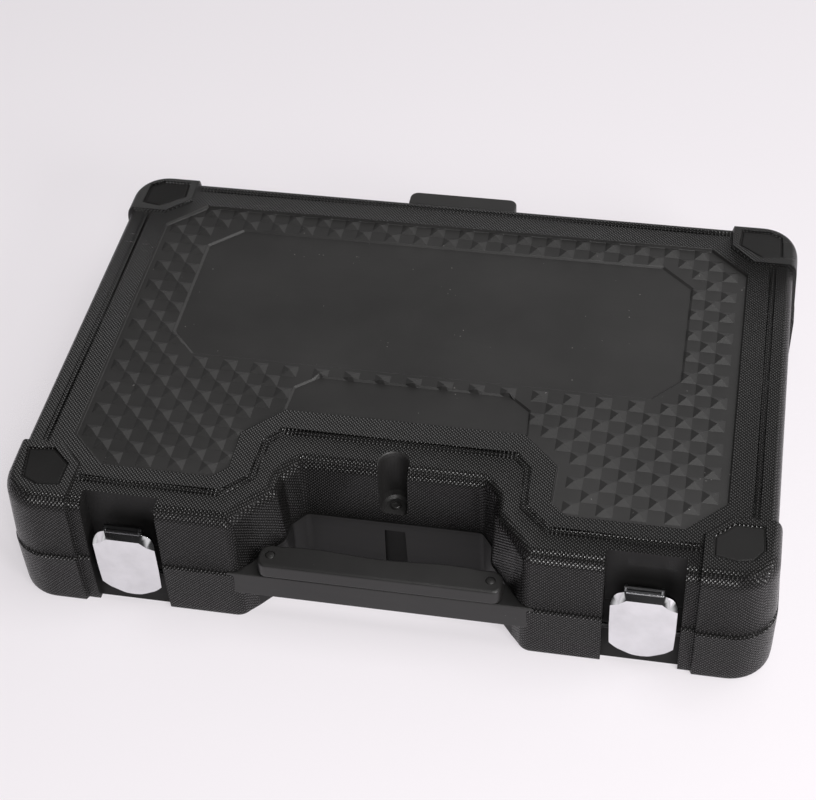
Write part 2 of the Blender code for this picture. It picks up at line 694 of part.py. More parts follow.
def spinner_handle(start_x, y, rubber, chrome):
    """A quarter drive screwdriver handle along X."""
    handle_length, radius, width = 0.090, 0.0130, DRIVES["quarter"]
    floor = TRAY_FLOOR_Z + 0.006
    axis_z = floor + GAP + radius
    profile = [
        (0, handle_length),
        (0.0070, handle_length),
        (0.0085, handle_length - 0.010),
        (radius, handle_length - 0.022),
        (radius * 0.9, 0.030),
        (radius, 0.008),
        (radius * 0.6, 0),
        (0, 0),
    ]
    grip = turned("spinner_handle", profile, rubber, (start_x, y, axis_z), ALONG_X)
    shank_radius, shank_base, shank_end = 0.0035, 0.056, 0.142
    combine(grip, rod((0, 0, shank_base - 0.001), (0, 0, 0.12), shank_radius + 0.0002, 12))
    mesh = rod((0, 0, shank_base), (0, 0, shank_end), shank_radius, 12)
    shank = place("spinner_shank", mesh, chrome, (start_x, y, axis_z), ALONG_X)
    combine(shank, square_rod((0, 0, shank_end - 0.001), (0, 0, shank_end + width), width), "UNION")
    pocket_along_x(start_x, start_x + shank_end + width, y, radius, floor)


def bit_rack(low_x, y, rubber, steel):
    """A rack with a row of screwdriver bits that stand in it."""
    count, pitch, across = 3, 0.016, 0.00635
    floor = TRAY_FLOOR_Z + 0.010
    high_x = low_x + count * pitch + 0.008
    block = box((low_x, y - 0.007, floor + GAP), (high_x, y + 0.007, floor + 0.012))
    rack = place("bit_rack", block, rubber)
    BOX_POCKETS.append((low_x - POCKET_ROOM, high_x + POCKET_ROOM, y - 0.0085, y + 0.0085, floor))
    for index in range(count):
        x = low_x + 0.0105 + index * pitch
        combine(rack, hex_rod((x, y, floor + 0.003), (x, y, floor + 0.03), across + 0.0003))
        shank = hex_rod((0, 0, 0), (0, 0, 0.017), across)
        bit = place(f"screwdriver_bit_{index + 1}", shank, steel, (x, y, floor + 0.0033))
        combine(bit, rod((0, 0, 0.0165), (0, 0, 0.025), 0.0027, 8, 0.0011), "UNION")


# Tray -------------------------------------------------------------------------------------------


def pocket_meshes(grow, top_z):
    """Every pocket as a solid, grown sideways and down by the given amount."""
    for low_x, high_x, low_y, high_y, floor in BOX_POCKETS:
        yield box((low_x - grow, low_y - grow, floor - grow), (high_x + grow, high_y + grow, top_z))
    for x, y, radius, floor in ROUND_POCKETS:
        yield rod((x, y, floor - grow), (x, y, top_z), radius + grow, 12)


def base_tray(finish):
    """A thin moulded tray: a plate, and a cup hanging from it for each tool."""
    inset = WALL + 0.0012
    plate = [case_outline(inset, z) for z in (TRAY_TOP_Z - TRAY_SKIN, TRAY_TOP_Z)]
    tray = place("base_tray", loft(plate), finish)
    for mesh in pocket_meshes(POCKET_WALL, TRAY_TOP_Z - 0.0004):
        combine(tray, mesh, "UNION")
    for mesh in pocket_meshes(0.0, TRAY_TOP_Z + 0.01):
        combine(tray, mesh)


# Assembly ---------------------------------------------------------------------------------------


def half_drive_sockets(finish):
    """A row of sockets beside the hinge, smallest at -X. Sizes are across the flats, in mm."""
    x, y, gap = -0.166, 0.0950, 0.0062
    for size in (10, 12, 13, 14, 15, 17, 19, 22, 24, 27):
        nose = (size * 1.36 + 1.2) / 2000
        drive_radius = max(nose, 0.011)
        x += drive_radius
        name = f"half_drive_socket_{size}"
        standing_socket(name, "half", size / 1000, 0.038, drive_radius, nose, (x, y), finish)
        x += drive_radius + gap


def quarter_drive_sockets(finish):
    """Two short rows of sockets in the left front of the tray."""
    for index, size in enumerate((6, 7, 8, 9, 10, 12)):
        nose = (size * 1.36 + 1.0) / 2000
        x = -0.166 + (index % 3) * 0.024
        y = -0.080 - (index // 3) * 0.022
        name = f"quarter_drive_socket_{size}"
        standing_socket(name, "quarter", size / 1000, 0.025, max(nose, 0.006), nose, (x, y), finish)


def build():
    clear_scene()
    black = material("black_polyethylene", (0.020, 0.020, 0.021), 0.0, 0.55)
    liner = material("charcoal_liner", (0.035, 0.035, 0.037), 0.0, 0.6)
    rubber = material("black_rubber", (0.015, 0.015, 0.015), 0.0, 0.7)
    chrome = material("chrome", (0.82, 0.82, 0.84), 1.0, 0.12)
    steel = material("steel", (0.55, 0.55, 0.57), 1.0, 0.3)
    base_shell(black)
    lid_shell(black)
    lid_liner(liner)
    hinge_pins(steel)
    handle_grip(black, steel)
    for side, word in ((-1, "left"), (1, "right")):
        latch(side, word, chrome, steel)
    half_drive_sockets(chrome)
    quarter_drive_sockets(chrome)
    lying_socket("spark_plug_socket_16", 0.016, 0.065, 0.0115, (0.098, 0.060), chrome)
    lying_socket("spark_plug_socket_21", 0.021, 0.065, 0.0145, (0.098, 0.030), chrome)
    ratchet("half_drive", "half", 0.250, -0.155, 0.058, chrome, rubber, steel)
    ratchet("quarter_drive", "quarter", 0.150, -0.160, -0.002, chrome, rubber, steel)
    extension_bar("half_drive_extension_250", "half", 0.250, -0.176, 0.0265, chrome)
    extension_bar("half_drive_extension_125", "half", 0.125, -0.020, -0.001, chrome)
    extension_bar("quarter_drive_extension_100", "quarter", 0.100, -0.176, -0.050, chrome)
    extension_bar("quarter_drive_extension_50", "quarter", 0.050, -0.060, -0.050, chrome)
    universal_joint(0.110, -0.006, chrome, steel)
    sliding_bar(-0.176, -0.028, chrome)
    spinner_handle(-0.046, -0.030, rubber, chrome)
    bit_rack(0.066, -0.080, rubber, steel)
    base_tray(liner)


build()
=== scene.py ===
import json
import math

import bmesh
import bpy
import numpy as np
from mathutils import Matrix, Vector
from mathutils.geometry import delaunay_2d_cdt

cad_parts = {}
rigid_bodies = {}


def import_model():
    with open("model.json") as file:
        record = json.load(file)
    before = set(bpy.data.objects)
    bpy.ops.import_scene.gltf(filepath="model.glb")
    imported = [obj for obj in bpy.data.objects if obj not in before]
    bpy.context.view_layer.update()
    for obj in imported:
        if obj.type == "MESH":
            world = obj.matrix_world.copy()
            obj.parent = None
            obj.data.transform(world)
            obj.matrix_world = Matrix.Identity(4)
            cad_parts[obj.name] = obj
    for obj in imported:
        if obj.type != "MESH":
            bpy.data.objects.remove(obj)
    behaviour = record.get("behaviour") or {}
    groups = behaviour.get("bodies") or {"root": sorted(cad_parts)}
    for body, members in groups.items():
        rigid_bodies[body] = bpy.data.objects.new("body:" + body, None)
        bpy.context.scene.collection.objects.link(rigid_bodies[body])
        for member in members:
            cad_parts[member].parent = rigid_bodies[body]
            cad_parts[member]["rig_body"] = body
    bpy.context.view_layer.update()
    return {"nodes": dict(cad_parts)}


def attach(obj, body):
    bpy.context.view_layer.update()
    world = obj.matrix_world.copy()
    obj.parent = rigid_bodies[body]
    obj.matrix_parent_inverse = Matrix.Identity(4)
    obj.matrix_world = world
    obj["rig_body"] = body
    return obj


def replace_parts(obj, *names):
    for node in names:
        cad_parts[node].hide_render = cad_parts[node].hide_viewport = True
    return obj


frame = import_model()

# A moulded carry case for a socket set. Lengths are millimetres in the row frame and MM turns them
# into metres. Shaders, the lamps and the camera are in metres.
MM = 0.001

# The case's walls, and how far its corner guards stand out from them
SIDE_X, FRONT, BACK, PROUD = 191.0, -133.0, 125.0, 2.0
# Where the guards end along the front and along the sides, and half the width of their step
GUARD_X, GUARD_FRONT, GUARD_BACK, GUARD_STEP = 154.5, -94.0, 93.0, 0.5
CORNER_RADIUS, CORNER_STEPS, NOTCH_STEPS, LEAST_RADIUS = 22.0, 12, 7, 0.3
# Corners (x, y, radius) of the notch for the hand, on the outside and on the inside of its wall
NOTCH = ((45, -89, 4), (51, -97, 4), (52, -108, 9), (65, -124, 0), (71, FRONT, 8.5))
INNER_NOTCH = ((45, -76.5, 4), (53.5, -86, 4), (54, -104, 9), (65, -124, 0), (71, FRONT, 8.5))
# The latch recesses: their two sides, and their back wall at the parting line and at the foot
RECESS = (110.0, 148.0)
RECESS_Y, RECESS_FOOT = -121.4, -129.0
# Where the notch's side walls start and end, and where the front corners start
NOTCH_FRONT, NOTCH_BACK, CORNER_Y = -126.0, -80.0, -95.0
# Heights of the parting line, the lid's border, its lip outside the crease, and the guards
PARTING, BORDER_Z, LIP_Z, GUARD_Z = 34.8, 72.5, 72.0, 74.0
FIELD_DROP, PLATE_DROP = 1.8, 0.85
WALL_TOP, ROUNDING_STEPS, LID_LEAN = 64.5, 12, 2.0
GROOVE_FRONT = -96.0
HINGE_Y, HINGE_X, KNUCKLE_PITCH = 129.0, 105.0, 16.3
LATCH_X = 129.0

# Pyramids stand on every other cell of a grid that starts at the field's front left
CELL_WIDE, CELL_DEEP, PYRAMID, PYRAMID_GAP = 8.224, 8.1, 1.75, 0.5
CELL_X, CELL_Y, COLUMNS, ROWS = -161.18, -100.9, 40, 25
FIELD_MARGIN = 2.6

# Right halves of outlines on the lid's top
FIELD = (
    (62, -53.5), (80, -72), (80, -96), (88, -104), (145, -104), (164.8, -84.5),
    (164.8, 83.2), (144.3, 102),
)
PLATE = ((121, -16.7), (135, -1.7), (135, 69.4), (118.4, 84.5))
STEP_PLATE = ((62, -60.0), (62, -50.4), (61, -35.1), (50, -25.9))
CREASE = (
    (60.5, -66.6), (67.5, -75.5), (69, -100.3), (82, -112.4), (176.5, -112.4), (176.5, 114.5),
)
# The recessed pad in each corner guard
PADS = (
    ((-184.8, -98.7), (-170.4, -97.3), (-159.8, -106.8), (-160.1, -121.8), (-172.7, -123.0),
     (-181.4, -118.9)),
    ((158.4, -107.0), (168.0, -97.6), (183.0, -97.6), (184.0, -113.0), (179.2, -119.9),
     (170.5, -122.0), (158.8, -119.5)),
    ((-183.0, 98.0), (-182.3, 115.0), (-174.8, 119.0), (-159.0, 119.2), (-158.2, 105.8),
     (-171.6, 95.9)),
    ((183.0, 98.0), (182.3, 115.0), (174.8, 119.0), (159.0, 119.2), (158.2, 105.8),
     (171.6, 95.9)),
)
# Teeth along the crease: spacing, rise, and the lines of the crease's relief that carry them
TOOTH, TOOTH_RISE, TOOTH_LINES, TOOTH_SKEW = 1.35, 0.17, (1, 4), 0.618

# Angles in degrees above which an edge stays sharp
SHARP, LID_SHARP, BASE_SHARP, PLATE_SHARP, TOOL_SHARP = 28.0, 9.0, 24.0, 18.0, 34.0
PLATE_BEVEL, TOOL_BEVEL = 0.30, 0.22
FLAT_ANGLE, MERGE = 0.6, 0.000002
TOUCHING, TINY = 1e-3, 1e-9


# Finishes -----------------------------------------------------------------------------------------

# The knurl's spacing, height and the colour of the painted shade between its points
KNURL_PITCH, KNURL_HEIGHT, PAINTED_VALLEY_SHADE = 0.0020, 0.00042, (0.0055, 0.0053, 0.0052)
SPECK = (0.30, 0.29, 0.28)


class Nodes:
    """A short way to write a material's nodes."""

    def __init__(self, name):
        self.material = bpy.data.materials.new(name)
        self.material.use_nodes = True
        self.tree = self.material.node_tree
        self.shader = self.tree.nodes["Principled BSDF"]
        where = self.tree.nodes.new("ShaderNodeTexCoord")
        self.place, self.normal = where.outputs["Object"], where.outputs["Normal"]

    def feed(self, socket, value):
        if isinstance(value, bpy.types.NodeSocket):
            self.tree.links.new(value, socket)
        else:
            socket.default_value = value

    def add(self, kind, output=0, settings=None, **inputs):
        """A new node. Inputs go by name, or by number as i0, i1 and so on."""
        node = self.tree.nodes.new(kind)
        for key, value in (settings or {}).items():
            setattr(node, key, value)
        for key, value in inputs.items():
            by_number = key[0] == "i" and key[1:].isdigit()
            self.feed(node.inputs[int(key[1:]) if by_number else key], value)
        return node.outputs[output]

    def math(self, operation, first, second=0.0, clamp=False):
        settings = {"operation": operation, "use_clamp": clamp}
        return self.add("ShaderNodeMath", settings=settings, i0=first, i1=second)

    def noise(self, scale, detail, place=None):
        sockets = {"Vector": place or self.place, "Scale": scale, "Detail": detail}
        return self.add("ShaderNodeTexNoise", Roughness=0.55, **sockets)

    def remap(self, value, low, high, to_low, to_high):
        return self.add("ShaderNodeMapRange", i0=value, i1=low, i2=high, i3=to_low, i4=to_high)

    def colours(self, factor, *ends):
        """A mix of two colours, each given as three numbers or as a socket."""
        first, second = (
            end if isinstance(end, bpy.types.NodeSocket) else (*end, 1.0) for end in ends
        )
        return self.add("ShaderNodeMix", 2, {"data_type": "RGBA"}, i0=factor, i6=first, i7=second)

    def bump(self, height, distance, strength, normal=None):
        node = self.tree.nodes.new("ShaderNodeBump")
        self.feed(node.inputs["Height"], height)
        node.inputs["Distance"].default_value = distance
        node.inputs["Strength"].default_value = strength
        if normal is not None:
            self.tree.links.new(normal, node.inputs["Normal"])
        return node.outputs["Normal"]

    def set(self, **sockets):
        for key, value in sockets.items():
            self.feed(self.shader.inputs[key.replace("_", " ")], value)
        return self.material


def knurl_ridge(nodes):
    """A field of small diamonds, laid on the plane that each face lies nearest to."""
    place = nodes.add("ShaderNodeSeparateXYZ", 0, i0=nodes.place).node.outputs
    normal = nodes.add("ShaderNodeSeparateXYZ", 0, i0=nodes.normal).node.outputs
    sizes = [nodes.math("ABSOLUTE", normal[axis]) for axis in range(3)]
    sideways = nodes.math("GREATER_THAN", sizes[0], sizes[1])
    upwards = nodes.math("GREATER_THAN", sizes[2], nodes.math("MAXIMUM", sizes[0], sizes[1]))

    def choose(factor, first, second):
        settings = {"data_type": "FLOAT"}
        return nodes.add("ShaderNodeMix", 0, settings, i0=factor, i2=first, i3=second)

    across = choose(upwards, choose(sideways, place[0], place[1]), place[0])
    along = choose(upwards, place[2], place[1])
    waves = []
    for operation in ("ADD", "SUBTRACT"):
        diagonal = nodes.math("MULTIPLY", nodes.math(operation, across, along), 1 / KNURL_PITCH)
        waves.append(nodes.math("PINGPONG", diagonal, 0.5))
    return nodes.math("MULTIPLY", nodes.math("MINIMUM", *waves), 2.0, clamp=True)


def plastic(name, colour, roughness, knurled=False, grain=0.00003, dust=0.0, specular=0.5):
    """Moulded plastic with a cloudy tone, fine grain and scratches. Dust or a knurl is extra."""
    nodes = Nodes(name)
    cloud = nodes.noise(18.0, 4.0)
    stretched = nodes.add("ShaderNodeMapping", i0=nodes.place, i3=(1.0, 14.0, 6.0))
    scratch = nodes.noise(60.0, 4.0, place=stretched)
    lighter = tuple(part * 1.35 + 0.002 for part in colour)
    base = nodes.colours(nodes.remap(cloud, 0.35, 0.7, 0.0, 1.0), colour, lighter)
    if dust:
        cells = nodes.add("ShaderNodeTexVoronoi", i2=420.0, i0=nodes.place)
        speck = nodes.math("LESS_THAN", cells, 0.11)
        thin = nodes.math("GREATER_THAN", nodes.noise(95.0, 2.0), 0.66)
        amount = nodes.math("MULTIPLY", nodes.math("MULTIPLY", speck, thin), dust)
        base = nodes.colours(amount, base, SPECK)
    uneven = nodes.math("ADD", cloud, nodes.math("MULTIPLY", scratch, 0.6))
    gloss = nodes.remap(uneven, 0.5, 1.1, roughness - 0.05, roughness + 0.08)
    normal = nodes.bump(nodes.noise(900.0, 2.0), grain, 0.6)
    if knurled:
        ridge = knurl_ridge(nodes)
        normal = nodes.bump(ridge, KNURL_HEIGHT, 1.0, normal)
        # Painted shade: the knurl's valleys are darkened to a near-black colour and reflect less,
        # as if shaded between its points.
        base = nodes.colours(nodes.remap(ridge, 0.30, 0.90, 0.0, 1.0), PAINTED_VALLEY_SHADE, base)
        specular = nodes.remap(ridge, 0.35, 0.90, 0.12, 1.0)
    return nodes.set(Base_Color=base, Roughness=gloss, Normal=normal, Specular_IOR_Level=specular)


def metal(name, colour, roughness, grain=0.00001, wear=0.10):
    """Plated or blacked steel, a little cloudy in tone and gloss."""
    nodes = Nodes(name)
    cloud = nodes.noise(55.0, 4.0)
    darker = tuple(part * 0.86 for part in colour)
    base = nodes.colours(nodes.remap(cloud, 0.35, 0.7, 0.0, 1.0), colour, darker)
    gloss = nodes.remap(cloud, 0.3, 0.75, roughness, roughness + wear)
    normal = nodes.bump(nodes.noise(1400.0, 2.0), grain, 0.5)
    return nodes.set(Base_Color=base, Metallic=1.0, Roughness=gloss, Normal=normal)


KNURLED = plastic("knurled_black", (0.0172, 0.0165, 0.0161), 0.22, knurled=True)
SMOOTH = plastic("smooth_black", (0.0138, 0.0133, 0.0130), 0.47, dust=0.75)
DEEP = plastic("recess_black", (0.0140, 0.0136, 0.0134), 0.52)
# A darker black with less reflection: painted shade on the notch and recess walls; also the darker
# floors of the corner pads.
SHADE_AND_PAD_BLACK = plastic("painted_shade_and_pad_black", (0.0070, 0.0067, 0.0066), 0.50, specular=0.25)
# Near-black with little reflection: painted shade in the base's shallow slot, so that it looks
# deep.
GROOVE_SHADE_BLACK = plastic("groove_painted_shade", (0.0030, 0.0029, 0.0028), 0.55, specular=0.12)
GRIP = plastic("grip_black", (0.0125, 0.0121, 0.0119), 0.38, dust=0.3, specular=0.4)
TRAY = plastic("tray_charcoal", (0.030, 0.030, 0.031), 0.58, grain=0.00008)
RUBBER = plastic("tool_grip_black", (0.012, 0.012, 0.012), 0.62, grain=0.0001)
CHROME = metal("latch_chrome", (0.79, 0.79, 0.81), 0.06, grain=0.000004, wear=0.03)
TOOL = metal("tool_chrome", (0.74, 0.74, 0.76), 0.16)
STEEL = metal("dark_steel", (0.30, 0.30, 0.31), 0.32)
# Darkened steel: painted shade on the latch straps and ears, which sit in the latch recesses.
SHADE_DARKENED_STEEL = metal("steel_painted_shade", (0.12, 0.12, 0.125), 0.26)
BLACKED = metal("blacked_steel", (0.035, 0.035, 0.036), 0.38)

# The two shells' finishes, and each one's place in their list
SHELL_FINISHES = [KNURLED, SMOOTH, DEEP, SHADE_AND_PAD_BLACK, GROOVE_SHADE_BLACK]
ON_KNURLED, ON_SMOOTH, ON_DEEP, ON_SHADE_AND_PAD, ON_GROOVE_SHADE = range(len(SHELL_FINISHES))


# Mesh building ------------------------------------------------------------------------------------


def linked(name, mesh):
    piece = bpy.data.objects.new(name, mesh)
    bpy.context.scene.collection.objects.link(piece)
    return piece


def mesh_of(name, points, faces):
    mesh = bpy.data.meshes.new(name)
    mesh.from_pydata([tuple(float(v) * MM for v in p) for p in points], [], faces)
    return mesh


def new_piece(name, points, faces, finishes, choice=None, sharp=SHARP, body=None, slot=None):
    """A piece from points in millimetres. choice gives each face's place in its finishes."""
    mesh = mesh_of(name, points, faces)
    for finish in finishes:
        mesh.materials.append(finish)
    if choice is not None:
        mesh.polygons.foreach_set("material_index", np.array(choice, dtype=np.int32))
    return finish_piece(linked(name, mesh), sharp, body)


def finish_piece(piece, sharp=SHARP, body=None):
    """Close a piece's seams, smooth its shading and give it its body."""
    shape = bmesh.new()
    shape.from_mesh(piece.data)
    bmesh.ops.remove_doubles(shape, verts=shape.verts, dist=MERGE)
    bmesh.ops.recalc_face_normals(shape, faces=shape.faces)
    shape.to_mesh(piece.data)
    shape.free()
    piece.data.shade_smooth()
    piece.data.set_sharp_from_angle(angle=math.radians(sharp))
    weighted = piece.modifiers.new("weighted", "WEIGHTED_NORMAL")
    weighted.keep_sharp = True
    if body:
        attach(piece, body)
    return piece


def bevelled(piece, width, angle):
    """Ease a finished piece's edges, before its normals are weighted."""
    bevel = piece.modifiers.new("edge", "BEVEL")
    bevel.width, bevel.segments = width * MM, 2
    bevel.limit_method, bevel.angle_limit = "ANGLE", math.radians(angle)
    piece.modifiers.move(1, 0)


def loft_faces(count, rings):
    """Quads between stacked rings of one length, numbered ring by ring."""
    faces = []
    for level in range(rings - 1):
        low, high = level * count, (level + 1) * count
        for i in range(count):
            j = (i + 1) % count
            faces.append((low + i, low + j, high + j, high + i))
    return faces


def loft_shape(rings):
    """Points and faces of the solid through stacked rings."""
    count = len(rings[0])
    faces = loft_faces(count, len(rings))
    faces.append(tuple(range(count))[::-1])
    faces.append(tuple(range((len(rings) - 1) * count, len(rings) * count)))
    return [p for ring in rings for p in ring], faces


def loft(name, rings, finish, body, slot):
    return new_piece(name, *loft_shape(rings), [finish], body=body, slot=slot)


def cut(piece, rings):
    """Take the solid through the rings out of a piece, and work the result into its mesh."""
    mesh = mesh_of("cutter", *loft_shape(rings))
    shape = bmesh.new()
    shape.from_mesh(mesh)
    bmesh.ops.recalc_face_normals(shape, faces=shape.faces)
    shape.to_mesh(mesh)
    shape.free()
    tool = linked("cutter", mesh)
    modifier = piece.modifiers.new("cut", "BOOLEAN")
    modifier.operation, modifier.solver, modifier.object = "DIFFERENCE", "EXACT", tool
    graph = bpy.context.evaluated_depsgraph_get()
    result = bpy.data.meshes.new_from_object(piece.evaluated_get(graph))
    piece.modifiers.clear()
    piece.data = result
    bpy.data.objects.remove(tool, do_unlink=True)


def round_turns(count):
    """Angles of a full turn, evenly spaced."""
    return np.linspace(0, 2 * math.pi, count + 1)[:-1]


# Case outline -------------------------------------------------------------------------------------


def half_corners(notch, recess_y, fixed):
    """Corners (x, y, radius, steps, shift) of the right half.

    A shift says how a corner moves per unit of inset, and None means square to its two walls.
    """
    side, guard = SIDE_X, SIDE_X + PROUD
    front, back = FRONT - PROUD, BACK + PROUD
    still, ahead = ((0, 0), (0, 1)) if fixed else (None, None)
    corners = [(x, y, radius, NOTCH_STEPS if radius else 0, None) for x, y, radius in notch]
    corners += [
        (RECESS[0], FRONT, 0, 0, ahead),
        (RECESS[0], recess_y, 0, 0, still),
        (RECESS[1], recess_y, 0, 0, still),
        (RECESS[1], FRONT, 0, 0, ahead),
        (GUARD_X - GUARD_STEP, FRONT, 0, 0, (0, 1)),
        (GUARD_X + GUARD_STEP, front, 0, 0, (0, 1)),
        (guard, front, CORNER_RADIUS, CORNER_STEPS, None),
        (guard, GUARD_FRONT, 0, 0, (-1, 0)),
        (side, GUARD_FRONT + 2 * GUARD_STEP, 0, 0, (-1, 0)),
        (side, GUARD_BACK - 2 * GUARD_STEP, 0, 0, (-1, 0)),
        (guard, GUARD_BACK, 0, 0, (-1, 0)),
        (guard, back, CORNER_RADIUS, CORNER_STEPS, None),
        (GUARD_X + GUARD_STEP, back, 0, 0, (0, -1)),
        (GUARD_X - GUARD_STEP, BACK, 0, 0, (0, -1)),
    ]
    return corners


def plan_points(corners, inset):
    """Points of a closed outline after each corner has moved in by the inset."""
    ring = []
    for index, (x, y, radius, steps, shift) in enumerate(corners):
        here = Vector((x, y))
        if shift is not None:
            ring.append(here + Vector(shift) * inset)
            continue
        before = Vector(corners[index - 1][:2])
        after = Vector(corners[(index + 1) % len(corners)][:2])
        arriving, leaving = (here - before).normalized(), (after - here).normalized()
        bend = math.atan2(arriving.cross(leaving), arriving.dot(leaving))
        left_in, left_out = Vector((-arriving.y, arriving.x)), Vector((-leaving.y, leaving.x))
        corner = here + (left_in + left_out) * inset / (1 + left_in.dot(left_out))
        if not steps:
            ring.append(corner)
            continue
        size = max(radius - math.copysign(inset, bend), LEAST_RADIUS)
        start = corner - arriving * size * abs(math.tan(bend / 2))
        centre = start + left_in * size * math.copysign(1, bend)
        spoke = start - centre
        turns = [bend * step / steps for step in range(steps + 1)]
        ring += [centre + Matrix.Rotation(turn, 2) @ spoke for turn in turns]
    return ring


def whole(half):
    """Both halves of the case's corners."""
    other = [
        (-x, y, radius, steps, None if shift is None else (-shift[0], shift[1]))
        for x, y, radius, steps, shift in reversed(half)
    ]
    return half + other


BASE_RING = np.array(plan_points(whole(half_corners(NOTCH, RECESS_Y, True)), 0.0))
RING = len(BASE_RING)


def case_ring(inset, z, notch=NOTCH, recess_y=RECESS_Y, fixed=True):
    """One level of the case. The inset and the height may differ from point to point."""
    corners = whole(half_corners(notch, recess_y, fixed))
    inset, z = np.broadcast_to(inset, (RING,)), np.broadcast_to(z, (RING,))
    if inset.min() == inset.max():
        plan = np.array(plan_points(corners, float(inset[0])))
    else:
        start = np.array(plan_points(corners, 0.0))
        plan = start + (np.array(plan_points(corners, 1.0)) - start) * inset[:, None]
    return np.column_stack([plan, z])


def is_guard(x, y):
    return (np.abs(x) > GUARD_X) & ((y < GUARD_FRONT + 0.4) | (y > GUARD_BACK - 0.4))


def front_share():
    """1 where the wall faces forwards or the notch, 0 at the sides and the back."""
    x, y = np.abs(BASE_RING[:, 0]), BASE_RING[:, 1]
    round_corner = np.clip((CORNER_Y - y) / (CORNER_Y - FRONT), 0, 1)
    return np.where(x < 150, (y < -60).astype(float), round_corner)


def wall_kinds():
    """For each wall between two points of a level: recess, notch or plain."""
    kinds = []
    for here, there in zip(BASE_RING, np.roll(BASE_RING, -1, axis=0)):
        x, y = abs(here[0] + there[0]) / 2, (here[1] + there[1]) / 2
        if RECESS[0] - 0.1 <= x <= RECESS[1] + 0.1 and FRONT + 0.1 < y < -100:
            kinds.append("recess")
        elif x < 70 and NOTCH_FRONT < y < NOTCH_BACK:
            kinds.append("notch")
        else:
            kinds.append("plain")
    return kinds


def wall_finishes(levels, first_outside, finish_by_kind):
    """The finish of each wall of a shell: deep black inside, then by its kind."""
    return [
        finish_by_kind[kind] if level >= first_outside else ON_DEEP
        for level in range(levels - 1)
        for kind in wall_kinds()
    ]


# Lid top ------------------------------------------------------------------------------------------


def pairs(ring):
    """Each point of a closed ring with the next one."""
    return list(zip(ring, ring[1:] + ring[:1]))


def mirrored(half):
    right = [tuple(map(float, p)) for p in half]
    return right + [(-float(x), float(y)) for x, y in reversed(half)]


def offset(polygon, distance):
    """A closed outline moved in by a distance, with mitred corners."""
    corners = [(x, y, 0, 0, None) for x, y in polygon]
    area = sum(a[0] * b[1] - b[0] * a[1] for a, b in pairs(polygon))
    return [tuple(p) for p in plan_points(corners, distance if area > 0 else -distance)]


def inside(points, polygon):
    x, y = points[:, 0], points[:, 1]
    result = np.zeros(len(points), bool)
    for (ax, ay), (bx, by) in pairs(polygon):
        crosses = (ay > y) != (by > y)
        with np.errstate(divide="ignore", invalid="ignore"):
            at = (bx - ax) * (y - ay) / (by - ay) + ax
        result ^= crosses & (x < at)
    return result


def distance_to(points, polygon):
    """Each point's distance to a closed outline."""
    best = np.full(len(points), np.inf)
    for first, second in pairs(polygon):
        a, b = np.array(first), np.array(second)
        t = np.clip(((points - a) @ (b - a)) / max((b - a) @ (b - a), 1e-12), 0, 1)
        best = np.minimum(best, np.linalg.norm(points - (a + t[:, None] * (b - a)), axis=1))
    return best


class Relief:
    """Nested outlines, each with a height. Heights run straight from each outline to the next."""

    def __init__(self, outline, profile):
        self.rings = [offset(outline, inset) if inset else list(outline) for inset, _ in profile]
        self.heights = [height for _, height in profile]

    def at(self, points):
        value = np.full(len(points), float(self.heights[0]))
        gaps = [distance_to(points, ring) for ring in self.rings]
        within = [inside(points, ring) | (gap < TOUCHING) for ring, gap in zip(self.rings, gaps)]
        for level in range(len(self.rings)):
            value = np.where(within[level], self.heights[level], value)
            if level + 1 < len(self.rings):
                between = within[level] & ~within[level + 1]
                share = gaps[level] / np.maximum(gaps[level] + gaps[level + 1], TINY)
                step = self.heights[level + 1] - self.heights[level]
                value = np.where(between, self.heights[level] + step * share, value)
        return value

    def lines(self):
        return [line for ring in self.rings for line in pairs(ring)]


FIELD_RELIEF = Relief(
    mirrored(FIELD), ((0.0, 0.0), (0.25, -0.12), (0.75, -1.55), (1.1, -FIELD_DROP))
)
FIELD_SHARE = Relief(mirrored(FIELD), ((0.0, 0.0), (0.25, 0.05), (0.75, 0.9), (1.1, 1.0)))
PLATE_SHARE = Relief(mirrored(PLATE), ((-1.3, 0.0), (0.0, 1.0)))
STEP_SHARE = Relief(mirrored(STEP_PLATE), ((-1.0, 0.0), (0.0, 1.0)))
PYRAMID_AREA = offset(mirrored(FIELD), FIELD_MARGIN)
CREASE_RELIEF = Relief(
    mirrored(CREASE),
    (
        (-3.3, LIP_Z), (-2.9, LIP_Z + 0.12), (-2.4, LIP_Z + 0.05), (-0.9, LIP_Z + 0.05),
        (0.0, BORDER_Z - 0.1), (0.7, BORDER_Z),
    ),
)
PAD_PROFILE = ((0.0, 0.0), (0.3, -0.1), (0.7, -1.15), (1.25, -1.2), (1.65, -0.75), (2.1, -0.65))
PAD_FLOOR = 2
PAD_RELIEFS = [Relief(list(pad), PAD_PROFILE) for pad in PADS]


def stands(column, row):
    """Whether a cell has a pyramid: every other one, if its middle is clear of the plates."""
    middle = np.column_stack(
        [CELL_X + (column + 0.5) * CELL_WIDE, CELL_Y + (row + 0.5) * CELL_DEEP]
    )
    clear = inside(middle, PYRAMID_AREA)
    for outline in (PLATE_SHARE.rings[0], STEP_SHARE.rings[0]):
        clear &= ~inside(middle, outline) & (distance_to(middle, outline) > PYRAMID_GAP)
    return clear & ((column + row) % 2 == 0)


def pyramids(points):
    """Height of the pyramids over the field's floor."""
    u, v = (points[:, 0] - CELL_X) / CELL_WIDE, (points[:, 1] - CELL_Y) / CELL_DEEP
    column, row = np.floor(u), np.floor(v)
    rise = 1 - 2 * np.maximum(np.abs(u - column - 0.5), np.abs(v - row - 0.5))
    return np.where(stands(column, row), np.maximum(rise, 0) * PYRAMID, 0.0)


